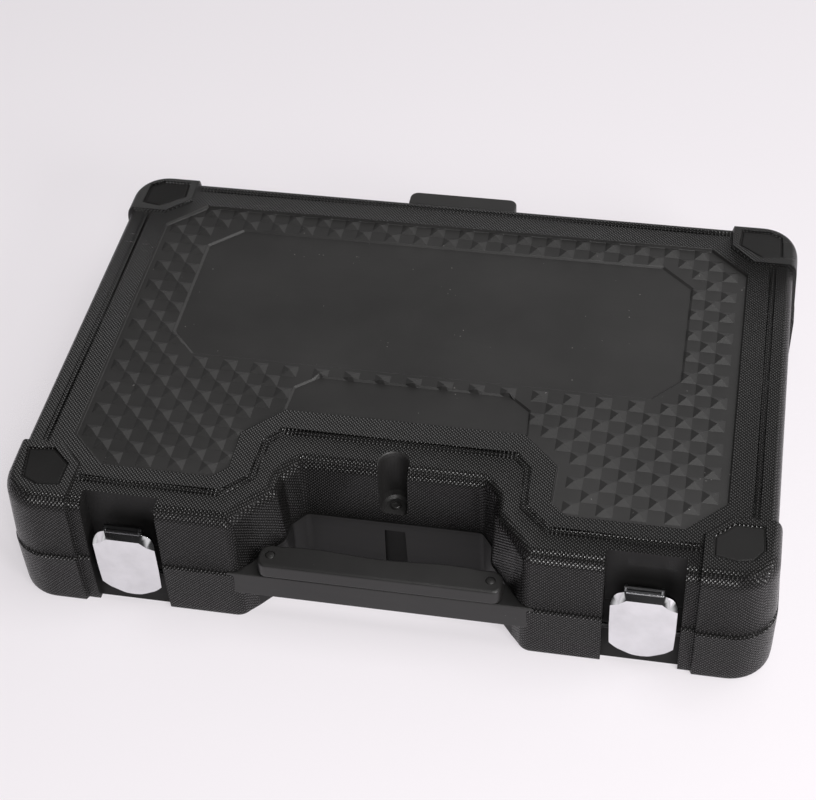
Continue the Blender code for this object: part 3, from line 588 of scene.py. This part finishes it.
def pyramid_lines():
    """Edges and ridges of the pyramids."""
    lines = set()
    column, row = (grid.ravel() for grid in np.meshgrid(np.arange(COLUMNS), np.arange(ROWS)))
    for place in np.flatnonzero(stands(column, row)):
        x, y = CELL_X + column[place] * CELL_WIDE, CELL_Y + row[place] * CELL_DEEP
        far_x, far_y = x + CELL_WIDE, y + CELL_DEEP
        corners = [(x, y), (far_x, y), (far_x, far_y), (x, far_y)]
        middle = (x + CELL_WIDE / 2, y + CELL_DEEP / 2)
        lines |= set(pairs(corners))
        lines |= {(corner, middle) for corner in corners}
    return sorted(lines)


def guard_lines():
    """For each corner: the foot and the crest of the step up to the guard, as open lines."""
    front = (
        [(154.0, -200), (154.0, -105.7), (167.7, -93.0), (250, -93.0)],
        [(155.0, -200), (155.0, -106.3), (168.3, -94.0), (250, -94.0)],
    )
    back = (
        [(250, 92.0), (166.9, 92.0), (154.0, 104.2), (154.0, 200)],
        [(250, 93.0), (167.3, 93.0), (155.0, 104.8), (155.0, 200)],
    )
    return [
        [[(side * x, y) for x, y in line] for line in lines]
        for side in (-1, 1)
        for lines in (front, back)
    ]


def guard_share(points):
    """0 on the lid's top, 1 on a guard, and in between on the step."""
    share = np.zeros(len(points))
    for low, high in guard_lines():
        far = (math.copysign(250, low[1][0]), math.copysign(200, low[1][1]))
        rings = (low + [far], high + [far])
        gaps = [distance_to(points, ring) for ring in rings]
        within = [inside(points, ring) | (gap < TOUCHING) for ring, gap in zip(rings, gaps)]
        part = np.where(within[0], gaps[0] / np.maximum(gaps[0] + gaps[1], TINY), 0.0)
        share = np.maximum(share, np.where(within[1], 1.0, part))
    return share


def teeth(points):
    """Small teeth along the crease: points on its two marked lines rise and fall in turn."""
    lines = [distance_to(points, CREASE_RELIEF.rings[line]) < 0.02 for line in TOOTH_LINES]
    turn = np.sin(math.pi * (points[:, 0] + TOOTH_SKEW * points[:, 1]) / TOOTH)
    return np.where(np.any(lines, axis=0), np.sign(turn) * TOOTH_RISE, 0.0)


def top_height(points):
    """Height of the lid's top at each point of its plan."""
    guard = guard_share(points)
    field = FIELD_SHARE.at(points)
    flat = np.maximum(PLATE_SHARE.at(points), STEP_SHARE.at(points))
    normal = CREASE_RELIEF.at(points) + FIELD_RELIEF.at(points) + teeth(points)
    normal += field * ((1 - flat) * pyramids(points) - flat * PLATE_DROP)
    pads = sum(relief.at(points) for relief in PAD_RELIEFS)
    return normal * (1 - guard) + (GUARD_Z + pads) * guard


def clipped_to_ring(line, ring):
    """An open guard line whose far ends are put on the ring's own nearest points."""
    plan = ring[:, :2]
    points = [np.array(p, float) for p in line]
    for end, inner in ((0, 1), (-1, -2)):
        axis = 0 if abs(points[end][0] - points[inner][0]) < 1e-6 else 1
        aside = np.abs(plan[:, axis] - points[inner][axis])
        away = np.linalg.norm(plan - points[inner], axis=1)
        near = np.where((aside < 0.01) & (away < 45))[0]
        points[end] = plan[near[np.argmin(away[near])]]
    return [tuple(p) for p in points]


def lid_top(ring):
    """The lid's top inside a ring: points, triangles and the finish of each triangle."""
    places, edges, index = [], [], {}

    def number(point):
        key = (round(float(point[0]), 4), round(float(point[1]), 4))
        if key not in index:
            index[key] = len(places)
            places.append(Vector((float(point[0]), float(point[1]))))
        return index[key]

    def draw(lines):
        for a, b in lines:
            first, second = number(a), number(b)
            if first != second:
                edges.append((first, second))

    plan = [tuple(p) for p in ring[:, :2]]
    draw(pairs(plan))
    for relief in [FIELD_RELIEF, PLATE_SHARE, STEP_SHARE, CREASE_RELIEF, *PAD_RELIEFS]:
        draw(relief.lines())
    for low, high in guard_lines():
        for open_line in (low, high):
            ends = clipped_to_ring(open_line, ring)
            draw(zip(ends, ends[1:]))
    draw(pyramid_lines())
    for toothed in TOOTH_LINES:
        for a, b in pairs(CREASE_RELIEF.rings[toothed]):
            count = max(1, round(math.dist(a, b) / TOOTH))
            for step in range(count):
                number(Vector(a).lerp(Vector(b), step / count))
    flat, _, triangles, *_ = delaunay_2d_cdt(places, edges, [], 1, 1e-4, False)
    points = np.array([tuple(p) for p in flat])
    middles = np.array([points[list(t)].mean(axis=0) for t in triangles])
    keep = np.flatnonzero(inside(middles, plan))
    pads = np.any([inside(middles, relief.rings[PAD_FLOOR]) for relief in PAD_RELIEFS], axis=0)
    in_field = np.where(FIELD_SHARE.at(middles) > 0.02, ON_SMOOTH, ON_KNURLED)
    finish = np.where(pads, ON_SHADE_AND_PAD, in_field)
    chosen = [tuple(triangles[i]) for i in keep]
    return np.column_stack([points, top_height(points)]), chosen, [int(finish[i]) for i in keep]


# Lid and base -------------------------------------------------------------------------------------


def lid():
    """The lid's shell: walls lofted from the inside out, then the top as one sheet."""
    crown = np.where(is_guard(BASE_RING[:, 0], BASE_RING[:, 1]), GUARD_Z, LIP_Z)
    reach = 4.2 + 2.0 * front_share()
    # Inside: (inset, height, depth of wall behind the recess). Outside: (inset, height).
    inner = ((8.5, 67.2, 3.4), (5.0, WALL_TOP, 3.0), (3.2, 35.3, 2.6))
    outer = [(1.5, 34.95), (0.85, 35.05), (0.6, 35.5), (LID_LEAN, WALL_TOP)]
    for step in range(1, ROUNDING_STEPS + 1):
        turn = math.pi / 2 * step / ROUNDING_STEPS
        rise = (crown - WALL_TOP) * math.sin(turn)
        outer.append((LID_LEAN + reach * (1 - math.cos(turn)), WALL_TOP + rise))
    rings = [
        case_ring(inset, z, INNER_NOTCH, RECESS_Y + depth - inset, fixed=False)
        for inset, z, depth in inner
    ]
    rings += [case_ring(inset, z) for inset, z in outer]
    points = [tuple(p) for ring in rings for p in ring]
    faces = loft_faces(RING, len(rings))
    # The recess walls take the darker black as painted shade.
    walls = {"plain": ON_KNURLED, "notch": ON_KNURLED, "recess": ON_SHADE_AND_PAD}
    choice = wall_finishes(len(rings), len(inner) + 2, walls)
    faces.append(tuple(range(RING))[::-1])
    choice.append(ON_DEEP)
    top, triangles, finishes = lid_top(rings[-1])
    faces += [tuple(len(points) + i for i in t) for t in triangles]
    points += [tuple(p) for p in top]
    choice += finishes
    shell = new_piece("case_lid", points, faces, SHELL_FINISHES[:ON_GROOVE_SHADE], choice)
    shell.modifiers.clear()
    groove_in_lid(shell)
    return finish_piece(shell, LID_SHARP, "lid")


def groove_plan(half, arch_y, steps=16):
    """A slot open to the front with a half-round end."""
    centre = arch_y - half
    turns = [math.pi * step / steps for step in range(steps + 1)]
    plan = [(half * math.cos(turn), centre + half * math.sin(turn)) for turn in turns]
    return [(half, GROOVE_FRONT)] + plan + [(-half, GROOVE_FRONT)]


def groove_in_lid(shell):
    """The upright half-round groove in the middle of the notch, flared at the top."""
    # (height, half width, back of the arch)
    levels = (
        (41.2, 5.2, -77.6), (42.6, 6.6, -76.2), (45.5, 7.1, -75.4), (69.6, 7.5, -74.6),
        (71.3, 7.8, -74.2), (72.3, 8.5, -73.4), (73.0, 9.4, -72.5),
    )
    cut(shell, [[(x, y, z) for x, y in groove_plan(half, arch)] for z, half, arch in levels])
    x, y, z = (np.array([tuple(f.center) for f in shell.data.polygons]) / MM).T
    facing = np.array([tuple(f.normal) for f in shell.data.polygons])
    # Its own faces lie behind the notch's wall or face sideways. The lid's top isn't among them.
    widest, foremost, hindmost, lowest, notch_wall = 9.3, -92, -72.4, 41, -87.4
    within = (np.abs(x) < widest) & (y > foremost) & (y < hindmost) & (z > lowest)
    own = (y > notch_wall) | (np.abs(facing[:, 0]) > 0.5)
    inner = within & own & ((facing[:, 2] < 0.9) | (z < 60))
    index = np.array([f.material_index for f in shell.data.polygons])
    chosen = np.where(inner, ON_SMOOTH, index).astype(np.int32)
    shell.data.polygons.foreach_set("material_index", chosen)


def recess_wall(z):
    """Where the base's recess wall stands at a height: it leans out towards its foot."""
    depth = (PARTING - z) / PARTING
    return RECESS_Y + (RECESS_FOOT - RECESS_Y) * depth


def base():
    """The base's shell, lofted from the inside out, with a slot in the notch's wall."""
    inner = ((8.0, 3.0), (5.0, 6.4), (2.9, 31.0), (2.6, 34.5))
    outer = (
        (1.2, 34.62), (1.1, 33.5), (0.3, 32.7), (0.0, 32.2), (0.0, 28.8), (0.2, 9.0),
        (0.3, 4.0), (0.5, 1.4), (0.9, 0.4), (1.6, 0.0),
    )
    x, y = np.abs(BASE_RING[:, 0]), BASE_RING[:, 1]
    # The notch's walls are nearly straight, so that its edges leave no gap under the bar
    ease = np.where((x < 66) & (y > NOTCH_FRONT) & (y < NOTCH_BACK), 0.1, 1.0)
    rings = [
        case_ring(inset, z, NOTCH, recess_wall(z) + 2.6 - inset, fixed=False) for inset, z in inner
    ]
    rings += [
        case_ring(inset * ease, z, NOTCH, max(recess_wall(z), FRONT + inset + 0.25))
        for inset, z in outer
    ]
    points, faces = loft_shape(rings)
    # The notch and recess walls take the darker black as painted shade.
    walls = {"plain": ON_KNURLED, "notch": ON_SHADE_AND_PAD, "recess": ON_SHADE_AND_PAD}
    choice = wall_finishes(len(rings), len(inner) - 1, walls) + [ON_DEEP, ON_SMOOTH]
    shell = new_piece("case_base_shell", points, faces, SHELL_FINISHES, choice)
    shell.modifiers.clear()
    slot_front, slot_back, slack = GROOVE_FRONT, -87.2, 0.4
    slot = (-5.0, 5.9), (29.0, 5.3)
    cut(shell, [
        [(-half, slot_front, z), (half, slot_front, z), (half, slot_back, z), (-half, slot_back, z)]
        for z, half in slot
    ])
    # The slot's own faces are painted near-black as shade.
    for face in shell.data.polygons:
        corners = [shell.data.vertices[i].co / MM for i in face.vertices]
        if all(abs(p.x) < 6.0 and slot_front < p.y < slot_back + slack for p in corners):
            face.material_index = ON_GROOVE_SHADE
    return finish_piece(shell, BASE_SHARP, "case_base")


def round_corners(corners, steps=6):
    """A plan with a radius at each corner: corners are (x, y, radius), anticlockwise."""
    ready = [(x, y, radius, steps if radius else 0, None) for x, y, radius in corners]
    return [tuple(p) for p in plan_points(ready, 0.0)]


def block_rings(plan, low, high, edge, steps=4):
    """Levels of a block with rounded top and bottom edges."""
    turns = [math.pi / 2 * step / steps for step in range(steps + 1)]
    curve = [(edge * (1 - math.sin(turn)), edge * (1 - math.cos(turn))) for turn in turns]
    levels = [(side, low + up) for side, up in curve] + [(up, high - side) for side, up in curve]
    return [[(x, y, z) for x, y in offset(plan, inset)] for inset, z in levels]


def rear_feet():
    plan = round_corners([(-31, 124.2, 0), (31, 124.2, 0), (31, 135, 4.5), (-31, 135, 4.5)])
    loft("lid_rear_foot", block_rings(plan, 42.9, 68.4, 1.0), SMOOTH, "lid", "case_shell")
    loft("base_rear_foot", block_rings(plan, 5.1, 26.7, 1.0), SMOOTH, "case_base", "case_shell")


def handle():
    """The bar across the notch, whose ends are sunk in the base, and the hand grip on it."""
    bar = [(-77.0, -132.7, 0), (77.0, -132.7, 0), (63.6, -118.9, 0), (-63.6, -118.9, 0)]
    rings = block_rings(round_corners(bar), 19.3, 34.55, 0.8, 3)
    loft("handle_bar", rings, GRIP, "case_base", "case_shell")
    end, front, back = 61.0, -133.3, -119.0
    fingers = [(50, -119.4, 0), (42, -118.6, 0), (30, -118.4, 0), (18, -119.2, 0), (6, -120.0, 0)]
    fingers += [(-x, y, radius) for x, y, radius in reversed(fingers)]
    corners = [(-end, front, 4.5), (end, front, 4.5), (end, back, 6.0), *fingers, (-end, back, 6.0)]
    rings = block_rings(round_corners(corners), 34.85, 44.2, 1.5, 5)
    grip = loft("grip_block", rings, GRIP, "case_base", "handle_grip")
    grip.modifiers.clear()
    turns = round_turns(24)
    dome = ((2.3, 39.6), (2.3, 43.9), (2.0, 44.25), (1.2, 44.45), (0.3, 44.5))
    hole = ((2.5, 39.4), (2.5, 44.6))
    for side, word in ((-1, "left"), (1, "right")):
        hole_rings, dome_rings = (
            [[(side * 55 + r * math.cos(t), -126 + r * math.sin(t), z) for t in turns]
             for r, z in profile]
            for profile in (hole, dome)
        )
        cut(grip, hole_rings)
        head = loft(f"grip_screw_head_{word}", dome_rings, GRIP, "case_base", "handle_grip")
        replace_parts(head, f"grip_screw_{word}")
    finish_piece(grip)
    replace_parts(grip, "handle_grip")


# Latches and hinges -------------------------------------------------------------------------------


def smooth_line(points, steps):
    """A curve through the points, as a Catmull-Rom spline."""
    out = []
    last = len(points) - 1
    for i in range(last):
        p0, p1, p2, p3 = (
            np.array(points[max(0, min(last, k))], float) for k in (i - 1, i, i + 1, i + 2)
        )
        for t in (step / steps for step in range(steps)):
            square = (2 * p0 - 5 * p1 + 4 * p2 - p3) * t * t
            cube = (3 * p1 - p0 - 3 * p2 + p3) * t ** 3
            out.append(tuple(0.5 * (2 * p1 + (p2 - p0) * t + square + cube)))
    out.append(tuple(map(float, points[-1])))
    return out


def lever_plate(side, word):
    """The chrome plate: a flat face, facets bent back round the top, and a bowed foot."""
    wide, shoulder_z = 16.7, 45.0
    foot = smooth_line([(0.0, 8.7), (4.5, 9.2), (8.5, 11.0), (12.5, 13.0), (16.2, 16.4)], 5)
    top = smooth_line([(wide, shoulder_z), (16.0, 48.2), (13.4, 51.4), (9.6, 53.5)], 4)
    half = foot + [(16.4, 20.0), (wide, 30.0)] + top
    ring = half + [(-x, z) for x, z in reversed(half[1:])]
    crest = [(wide, shoulder_z), (12.6, 46.4), (8.8, 49.6)]
    crest += [(-x, z) for x, z in reversed(crest)]
    places = [Vector(p) for p in ring + crest[1:-1]]
    count = len(ring)
    ends = {
        hand: next(i for i, p in enumerate(ring) if math.dist(p, (hand * wide, shoulder_z)) < 1e-6)
        for hand in (-1, 1)
    }
    chain = [ends[1], *range(count, count + len(crest) - 2), ends[-1]]
    edges = pairs(list(range(count))) + list(zip(chain, chain[1:]))
    # Points on the flat face, so that it can bow
    for z in (20.0, 28.0, 36.0):
        places += [Vector((x, z)) for x in (-12.0, -8.0, -4.0, 0.0, 4.0, 8.0, 12.0)]
    flat, _, triangles, *_ = delaunay_2d_cdt(places, edges, [], 1, 1e-5, False)
    plan = np.array([tuple(p) for p in flat])
    above = crest + [(-40, 60), (-40, 90), (40, 90), (40, 60)]
    slope, thick, bow_depth, narrower, aside = 0.62, 1.15, 0.21, 0.96, 0.6
    back = np.where(inside(plan, above), distance_to(plan, crest + crest[-2:0:-1]) * slope, 0.0)
    bow = bow_depth * (1 - (plan[:, 0] / 17) ** 2) * np.clip((46 - plan[:, 1]) / 10, 0, 1)
    y = FRONT - bow + back
    front = [(x, d, z) for (x, z), d in zip(plan, y)]
    rear = [(x, d + thick, z) for (x, z), d in zip(plan, y)]
    total = len(front)
    faces = [tuple(t) for t in triangles]
    faces += [tuple(total + i for i in reversed(t)) for t in triangles]
    sides = [line for t in triangles for line in pairs(list(t))]
    shared = set(sides)
    faces += [(a, b, total + b, total + a) for a, b in sides if (b, a) not in shared]
    points = [(x * narrower + side * LATCH_X + aside, d, z) for x, d, z in front + rear]
    plate = new_piece(f"latch_plate_{word}", points, faces, [CHROME], None, PLATE_SHARP)
    bevelled(plate, PLATE_BEVEL, PLATE_SHARP)
    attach(plate, f"latch_{word}_lever")
    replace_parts(plate, f"latch_lever_{word}")


def profile_block(name, outline, low, high, finish, body, slot, edge):
    """An outline in y and z drawn out along X, with eased ends."""
    levels = ((low, edge), (low + edge, 0.0), (high - edge, 0.0), (high, edge))
    rings = [[(x, y, z) for y, z in offset(outline, inset)] for x, inset in levels]
    return loft(name, rings, finish, body, slot)


def tube(name, low, high, outer, inner, finish, body, slot, steps=24, edge=0.3):
    """A tube along X round the hinge's axis, with eased rims."""
    profile = [
        (low + edge, inner), (low, inner + edge), (low, outer - edge), (low + edge, outer),
        (high - edge, outer), (high, outer - edge), (high, inner + edge), (high - edge, inner),
    ]
    turns = [2 * math.pi * step / steps for step in range(steps)]
    points = [
        (x, HINGE_Y + radius * math.cos(turn), PARTING + radius * math.sin(turn))
        for x, radius in profile
        for turn in turns
    ]
    faces = loft_faces(steps, len(profile))
    last = (len(profile) - 1) * steps
    for i in range(steps):
        j = (i + 1) % steps
        faces.append((last + i, last + j, j, i))
    return new_piece(name, points, faces, [finish], body=body, slot=slot)


def circle(y, z, radius, steps):
    return [(y + radius * math.cos(t), z + radius * math.sin(t)) for t in round_turns(steps)]


def latch(side, word):
    """One latch: its plate and ears on the lever, its strap and roll on the link."""
    lever_plate(side, word)
    middle = side * LATCH_X
    lever, link = f"latch_{word}_lever", f"latch_{word}_link"
    ear = [
        (-131.5, 48.0), (-128.0, 47.8), (-125.2, 49.6), (-125.0, 52.6), (-126.2, 54.0),
        (-128.4, 54.4), (-130.2, 53.8), (-130.6, 51.4),
    ]
    strap = [
        (-126.9, 22.5), (-127.1, 50.0), (-125.4, 51.2), (-125.4, 52.4), (-126.8, 53.4),
        (-129.0, 53.3), (-130.2, 52.2), (-130.2, 51.2), (-128.6, 50.0), (-128.3, 22.5),
    ]
    rim, roll = circle(-131.2, 53.5, 0.24, 16), circle(-127.5, 22.5, 2.6, 20)
    for hand in (-1, 1):
        low, high = sorted((middle + hand * 8.1, middle + hand * 9.3))
        name = f"latch_ear_{word}_{'inner' if hand * side < 0 else 'outer'}"
        profile_block(name, ear, low, high, SHADE_DARKENED_STEEL, lever, "latch_plate", 0.2)
    parts = (
        ("strap", strap, -7.4, 7.4, SHADE_DARKENED_STEEL, link, "steel_hardware", 0.3),
        ("rim", rim, -8.4, 9.6, STEEL, lever, "latch_plate", 0.2),
        ("roll", roll, -11.9, 11.9, STEEL, link, "steel_hardware", 0.4),
    )
    for part, outline, low, high, finish, body, slot, edge in parts:
        ends = (middle + low, middle + high)
        block = profile_block(f"latch_{part}_{word}", outline, *ends, finish, body, slot, edge)
        if part == "strap":
            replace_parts(block, f"latch_link_{word}")


def groove_button():
    """The small round stud at the foot of the lid's groove."""
    profile = (
        (2.7, 41.0), (2.7, 42.5), (2.45, 42.8), (1.7, 42.8), (1.5, 42.1), (0.9, 42.0), (0.3, 41.95)
    )
    turns = round_turns(24)
    rings = [[(r * math.cos(t), -82.6 + r * math.sin(t), z) for t in turns] for r, z in profile]
    loft("groove_stud", rings, GRIP, "lid", "case_shell")


def hinges():
    """Three knuckles to each hinge, the middle one on the lid, each with its leaf."""
    for side, word in ((-1, "left"), (1, "right")):
        for place, body in ((-1, "case_base"), (0, "lid"), (1, "case_base")):
            centre = side * HINGE_X + place * KNUCKLE_PITCH
            name = f"hinge_knuckle_{word}_{place + 2}"
            tube(name, centre - 7.9, centre + 7.9, 3.6, 1.65, DEEP, body, "case_shell")
            up = 1 if body == "lid" else -1
            low, high = sorted((PARTING + up * 0.5, PARTING + up * 3.3))
            leaf = [(123.8, low), (126.6, low), (126.6, high), (123.8, high)]
            ends = (centre - 7.8, centre + 7.8)
            profile_block(name + "_leaf", leaf, *ends, DEEP, body, "case_shell", 0.2)


def liner():
    """The lid's inner lining, dished round the notch."""
    levels = (
        (9.5, 53.0), (8.0, 38.2), (7.4, 36.4), (6.6, 36.2), (5.6, 36.2), (5.4, 38.2), (6.0, 38.6),
        (7.5, 55.0),
    )
    rings = [case_ring(inset, z, INNER_NOTCH, fixed=False) for inset, z in levels]
    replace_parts(loft("lid_lining", rings, TRAY, "lid", "inner_moulding"), "lid_liner")


# Inner pieces -------------------------------------------------------------------------------------


def finish_of(name):
    """The finish of a CAD piece that keeps its own shape."""
    if name.startswith(("latch_base_pin", "latch_lever_pin")):
        return BLACKED
    if name.startswith("hinge_pin"):
        return STEEL
    if name.endswith("_grip") or name in ("spinner_handle", "bit_rack"):
        return RUBBER
    if name.endswith(("_drive", "_button", "_selector")) or "bit_" in name or "cross" in name:
        return STEEL
    return TOOL


def eased(name):
    """A finer copy of a CAD piece, with smooth rounds and eased edges."""
    node = frame["nodes"][name]
    mesh = node.data.copy()
    mesh.materials.clear()
    mesh.materials.append(finish_of(name))
    if "custom_normal" in mesh.attributes:
        mesh.attributes.remove(mesh.attributes["custom_normal"])
    shape = bmesh.new()
    shape.from_mesh(mesh)
    bmesh.ops.remove_doubles(shape, verts=shape.verts, dist=MERGE)
    limit = math.radians(FLAT_ANGLE)
    bmesh.ops.dissolve_limit(shape, angle_limit=limit, verts=shape.verts, edges=shape.edges)
    shape.to_mesh(mesh)
    shape.free()
    piece = finish_piece(linked(name + "_fine", mesh), TOOL_SHARP, node["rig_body"])
    bevelled(piece, TOOL_BEVEL, TOOL_SHARP)
    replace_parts(piece, name)


def inner_pieces():
    """Every CAD piece with no finer model of its own is shown eased, but the tray as it is."""
    own = ("base_shell", "lid_shell", "lid_liner", "handle_grip", "grip_screw", "latch_link",
           "latch_lever_left", "latch_lever_right")
    for name, node in frame["nodes"].items():
        if name == "base_tray":
            for place in node.material_slots:
                place.material = TRAY
        elif not name.startswith(own):
            eased(name)


# Studio -------------------------------------------------------------------------------------------

LAMP_COLOUR = (1.0, 0.99, 0.985)


def lamp(name, place, target, size, power):
    data = bpy.data.lights.new(name, "AREA")
    data.shape, data.size = "SQUARE", size
    data.energy, data.color = power, LAMP_COLOUR
    light = linked(name, data)
    light.location = place
    light.rotation_euler = (Vector(target) - Vector(place)).to_track_quat("-Z", "Y").to_euler()


def sky_tree(world):
    """Soft room: bright behind and to the right, dark above and in front, with a pale horizon."""
    world.use_nodes = True
    tree = world.node_tree
    split = tree.nodes.new("ShaderNodeSeparateXYZ")
    tree.links.new(tree.nodes.new("ShaderNodeTexCoord").outputs["Generated"], split.inputs[0])

    def ramp(axis, low, high, to_low, to_high):
        node = tree.nodes.new("ShaderNodeMapRange")
        node.interpolation_type = "SMOOTHSTEP"
        for index, value in enumerate((low, high, to_low, to_high), start=1):
            node.inputs[index].default_value = value
        tree.links.new(split.outputs[axis], node.inputs[0])
        return node.outputs[0]

    def combine(operation, first, second):
        node = tree.nodes.new("ShaderNodeMath")
        node.operation = operation
        tree.links.new(first, node.inputs[0])
        tree.links.new(second, node.inputs[1])
        return node.outputs[0]

    rightwards = ramp("X", -0.45, 0.15, 0.36, 1.06)
    backwards = ramp("Y", -0.35, 0.50, 0.05, 1.45)
    low = ramp("Z", 0.0, 0.95, 0.85, 0.18)
    horizon = ramp("Z", 0.02, 0.14, 0.80, 0.0)
    above = combine("MULTIPLY", combine("MULTIPLY", backwards, low), rightwards)
    sky = tree.nodes["Background"]
    sky.inputs["Color"].default_value = (1.0, 0.985, 0.99, 1.0)
    tree.links.new(combine("MAXIMUM", above, horizon), sky.inputs["Strength"])


def pale_floor():
    """A plain table with a weak glow that grows to the right."""
    reach = 6.0
    corners = [(-reach, -reach, 0), (reach, -reach, 0), (reach, reach, 0), (-reach, reach, 0)]
    mesh = bpy.data.meshes.new("floor")
    mesh.from_pydata(corners, [], [(0, 1, 2, 3)])
    nodes = Nodes("pale_floor")
    tone = nodes.colours(nodes.noise(1.3, 2.0), (0.35, 0.335, 0.35), (0.37, 0.355, 0.37))
    across = nodes.add("ShaderNodeSeparateXYZ", 0, i0=nodes.place)
    glow = {
        "Emission_Color": (0.95, 0.91, 0.945, 1.0),
        "Emission_Strength": nodes.remap(across, -0.4, 0.4, 0.545, 0.57),
    }
    mesh.materials.append(
        nodes.set(Base_Color=tone, Roughness=0.8, Specular_IOR_Level=0.15, **glow)
    )
    linked("floor", mesh)


def studio():
    """Floor, sky, lamps, and the camera that was fitted to the photo."""
    scene = bpy.context.scene
    pale_floor()
    scene.world = bpy.data.worlds.new("soft_room")
    sky_tree(scene.world)
    lamp("key_right", (0.50, 0.0, 1.35), (0, 0, 0.03), 1.0, 10)
    lamp("spark_front", (0.40, -1.10, 1.25), (0, 0, 0.05), 0.40, 10)
    lamp("fill_right", (1.00, -0.95, 0.75), (0.1, -0.1, 0.03), 0.4, 11)
    camera = linked("camera", bpy.data.cameras.new("camera"))
    camera.data.lens, camera.data.sensor_width = 79.83, 36.0
    camera.data.clip_start = 0.01
    camera.location = (0.145886, -0.675293, 0.727557)
    camera.rotation_euler = (0.7838796, 0.0418614, 0.1843526)
    scene.camera = camera
    scene.view_settings.view_transform = "Standard"


inner_pieces()
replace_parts(lid(), "lid_shell")
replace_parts(base(), "base_shell")
rear_feet()
handle()
for hand, hand_name in ((-1, "left"), (1, "right")):
    latch(hand, hand_name)
hinges()
groove_button()
liner()
studio()
